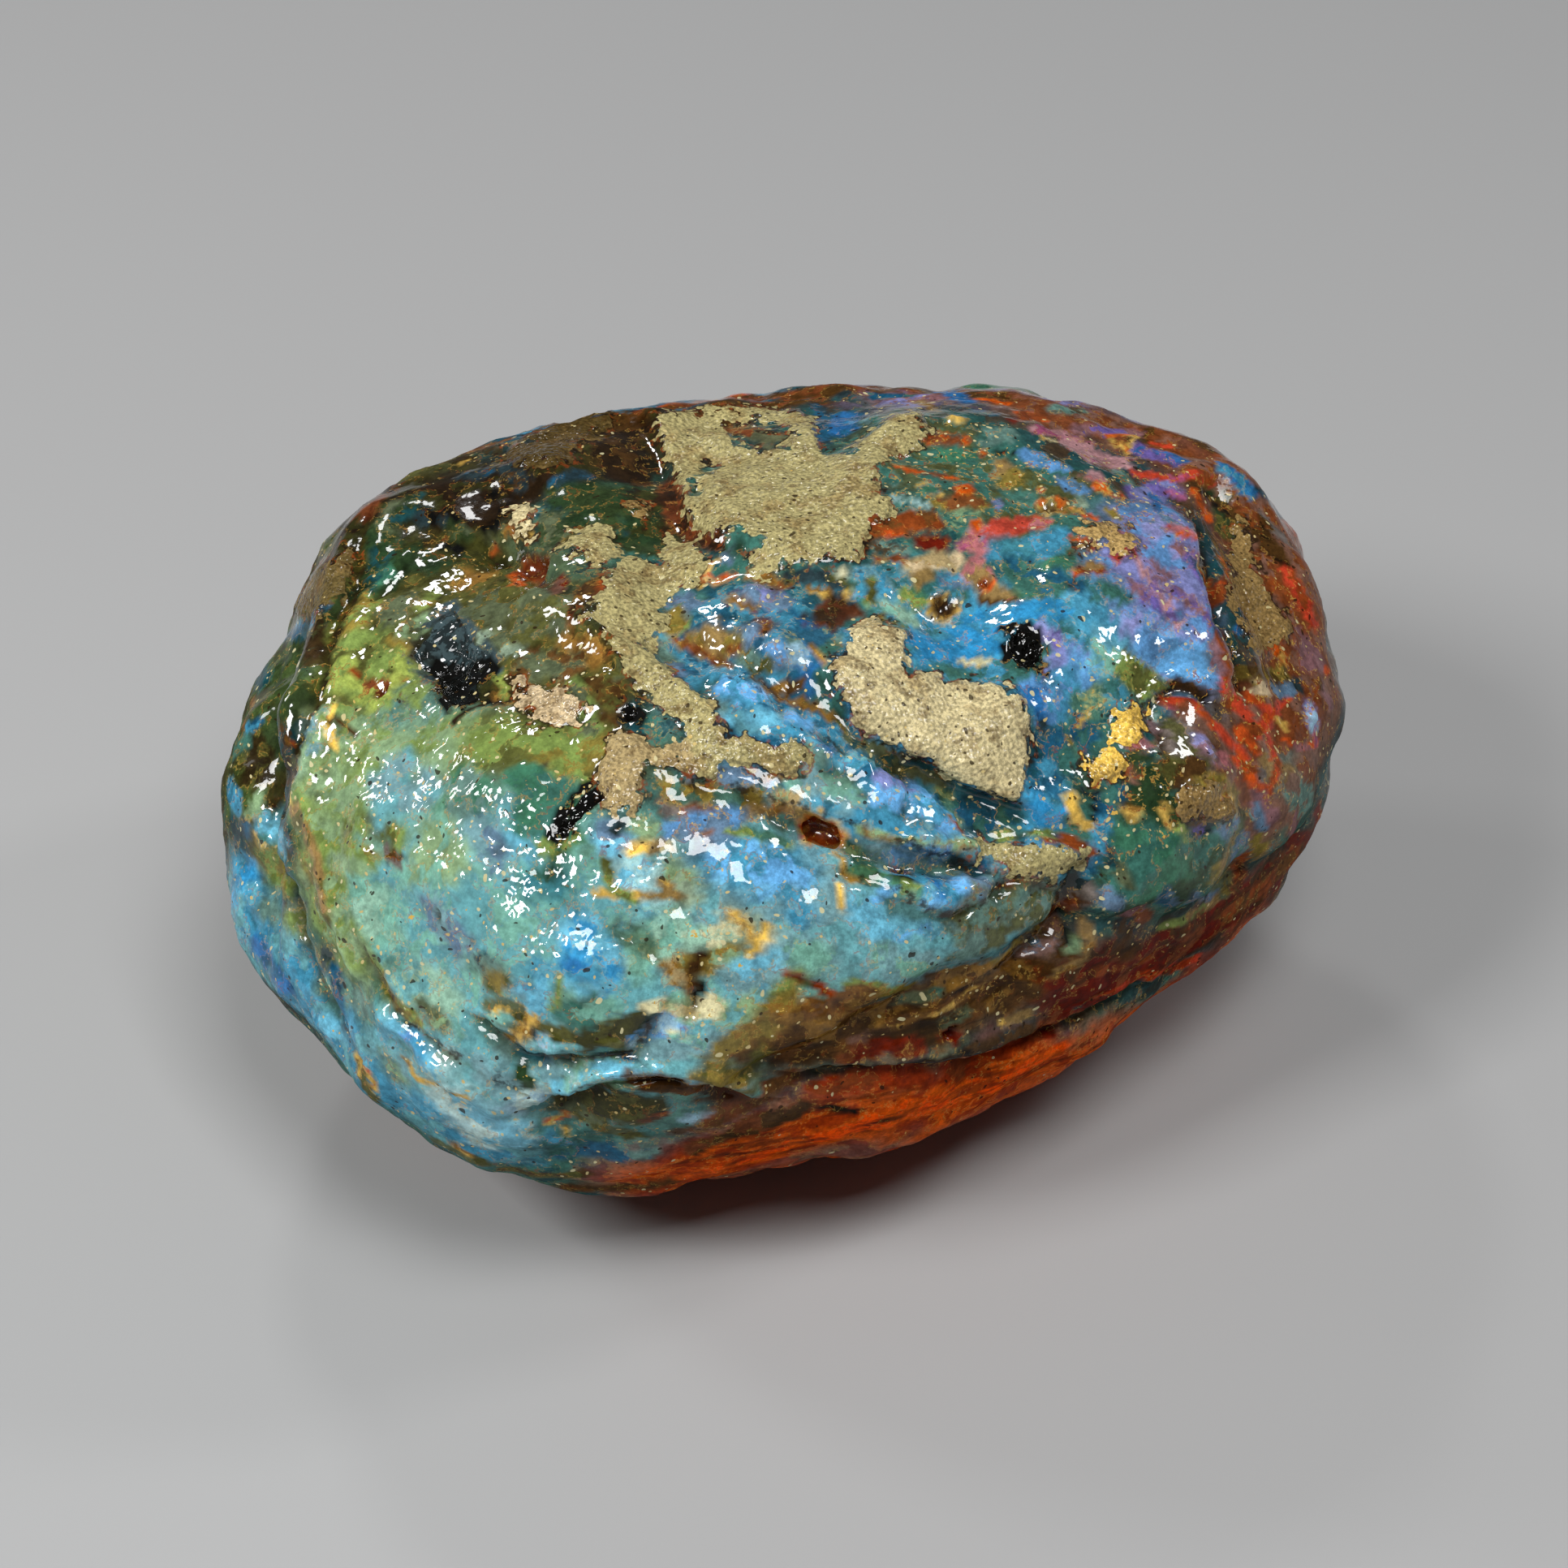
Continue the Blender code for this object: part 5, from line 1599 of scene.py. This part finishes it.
def with_crust(nodes, lumps, skin):
    """The sandy crust and the rusty line round it, and the share of crust."""
    edge = nodes.noise(lumps.place, size=0.8, detail=2, roughness=0.55)
    edge = nodes.spread(edge, 0.2, 0.8, least=-0.5, most=0.5)
    depth = nodes.math("ADD", nodes.attribute("crust"), edge)
    on_crust = nodes.spread(depth, -0.03, 0.03)
    patchy = nodes.spread(lumps.broad, 0.4, 0.56, least=0.25, most=0.9)
    rim = nodes.times(nodes.spread(depth, -0.34, -0.08), patchy)
    rust_share = nodes.spread(lumps.middling, 0.5, 0.6)
    skin = nodes.mix(rim, skin, nodes.mix(rust_share, colour("dark umber"), colour("rust")))
    tan_share = nodes.spread(lumps.broad, 0.5, 0.66, most=0.55)
    sand = nodes.mix(tan_share, nodes.attribute("grit", "Color"), colour("tan"))
    sand = nodes.dimmed(sand, nodes.spread(lumps.grain, 0.3, 0.7, least=0.52, most=1.3))
    stain = nodes.spread(lumps.middling, 0.5, 0.62, most=0.5)
    stain = nodes.times(stain, nodes.spread(lumps.broad, 0.44, 0.54))
    sand = nodes.mix(stain, sand, colour("umber"))
    return nodes.mix(on_crust, skin, sand), on_crust


def with_specks(nodes, lumps, skin, on_crust):
    """Gold and dark specks on the amber, and dark and pale ones on the crust. The pale specks, gold to
    cream, are partly gold flecks and partly painted glints.
    """
    cell = nodes.add("ShaderNodeTexVoronoi", {"Vector": lumps.warped, "Scale": 1 / (SPECK_GAP * MM)})
    pick = nodes.add("ShaderNodeSeparateColor", {0: cell.outputs["Color"]})
    kind, girth = pick.outputs[0], pick.outputs[1]
    dot = nodes.math("SUBTRACT", nodes.math("MULTIPLY_ADD", girth, 0.2, 0.16), cell.outputs["Distance"])
    dot = nodes.spread(dot, 0.0, 0.06)
    # Pale specks: gold flecks, with cream ones that are painted glints
    pale = nodes.math("LESS_THAN", kind, nodes.times(nodes.attribute("gold"), 0.5))
    dark = nodes.math("GREATER_THAN", kind, nodes.math("MULTIPLY_ADD", on_crust, -0.2, 0.9))
    gold_and_glint_tone = nodes.mix(girth, colour("gold"), colour("cream"))
    skin = nodes.mix(nodes.times(nodes.times(dot, pale), 0.9), skin, gold_and_glint_tone)
    return nodes.mix(nodes.times(nodes.times(dot, dark), 0.85), skin, colour("dark umber"))


def set_gloss(nodes, shader, on_crust, chip):
    """The wet coat, and the light that the amber lets in."""
    roughness = {"Value": on_crust, "To Min": ROUGHNESS, "To Max": CRUST_ROUGHNESS}
    nodes.feed(shader.inputs["Roughness"], nodes.add("ShaderNodeMapRange", roughness).outputs["Result"])
    coat = nodes.times(nodes.attribute("wet"), nodes.math("MULTIPLY_ADD", on_crust, -0.3, 1.0))
    nodes.feed(shader.inputs["Coat Weight"], coat)
    shader.inputs["Coat Roughness"].default_value = COAT_ROUGHNESS
    shader.inputs["Coat IOR"].default_value = COAT_IOR
    shader.inputs["Specular IOR Level"].default_value = 0.0
    shader.inputs["IOR"].default_value = AMBER_IOR
    opaque = nodes.math("MAXIMUM", on_crust, chip)
    clear = nodes.times(nodes.attribute("clear"), nodes.math("SUBTRACT", 1.0, opaque))
    nodes.feed(shader.inputs["Transmission Weight"], clear)


def set_relief(nodes, shader, place):
    """The finest relief, heights in mm: wet ripples, grains of the crust and facets of the chips."""
    on_sand = nodes.ramp(nodes.attribute("crust"), -0.1, 0.1)
    on_chip = nodes.ramp(nodes.attribute("chip"), -0.1, 0.1)
    ripple_height = nodes.times(nodes.attribute("glint"), 0.085)
    ripple = nodes.times(nodes.noise(place, size=0.42, detail=0, roughness=0.3), ripple_height)
    grain_height = nodes.math("MULTIPLY_ADD", on_sand, 0.12, 0.006)
    grains = nodes.times(nodes.noise(place, size=0.26, detail=0, roughness=0.5), grain_height)
    facet = nodes.times(nodes.noise(place, size=0.7, detail=0, roughness=0.5), on_chip)
    grains = nodes.math("MULTIPLY_ADD", facet, 0.5, grains)
    height = nodes.math("ADD", ripple, nodes.math("MULTIPLY_ADD", on_sand, 0.05, grains))
    bump = nodes.add("ShaderNodeBump", {"Height": height, "Distance": MM, "Strength": 1.0})
    for socket in ("Normal", "Coat Normal"):
        nodes.feed(shader.inputs[socket], bump.outputs["Normal"])


def amber_material():
    material = bpy.data.materials.new("blue_amber")
    material.use_nodes = True
    nodes = Nodes(material)
    shader = material.node_tree.nodes["Principled BSDF"]
    lumps = lumps_of(nodes)
    skin = with_threads(nodes, lumps, amber_colour(nodes, lumps))
    skin, chip = with_chips(nodes, lumps, skin)
    skin, on_crust = with_crust(nodes, lumps, skin)
    nodes.feed(shader.inputs["Base Color"], with_specks(nodes, lumps, skin, on_crust))
    set_gloss(nodes, shader, on_crust, chip)
    set_relief(nodes, shader, lumps.place)
    absorption = {"Color": ABSORPTION_COLOUR, "Density": ABSORPTION_DENSITY}
    inner = nodes.add("ShaderNodeVolumeAbsorption", absorption)
    output = material.node_tree.nodes["Material Output"]
    nodes.feed(output.inputs["Volume"], inner.outputs[0])
    return material


def make_floor():
    bpy.ops.mesh.primitive_plane_add(size=FLOOR_SIDE)
    floor = bpy.context.object
    floor.name = "floor"
    pale = bpy.data.materials.new("floor")
    pale.use_nodes = True
    shader = pale.node_tree.nodes["Principled BSDF"]
    shader.inputs["Base Color"].default_value = FLOOR_COLOUR
    shader.inputs["Roughness"].default_value = FLOOR_ROUGHNESS
    floor.data.materials.append(pale)
    return floor


def make_sky():
    world = bpy.data.worlds.new("world")
    world.use_nodes = True
    world.node_tree.nodes["Background"].inputs["Color"].default_value = SKY_COLOUR
    world.node_tree.nodes["Background"].inputs["Strength"].default_value = SKY_STRENGTH
    bpy.context.scene.world = world


stone.data.materials.clear()
stone.data.materials.append(amber_material())
stone.data.shade_smooth()
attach(stone, "root")
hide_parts("amber_nodule")

floor = make_floor()
for name, lamp in LAMPS.items():
    light(name, **lamp)
make_sky()
bpy.context.scene.view_settings.view_transform = "Standard"
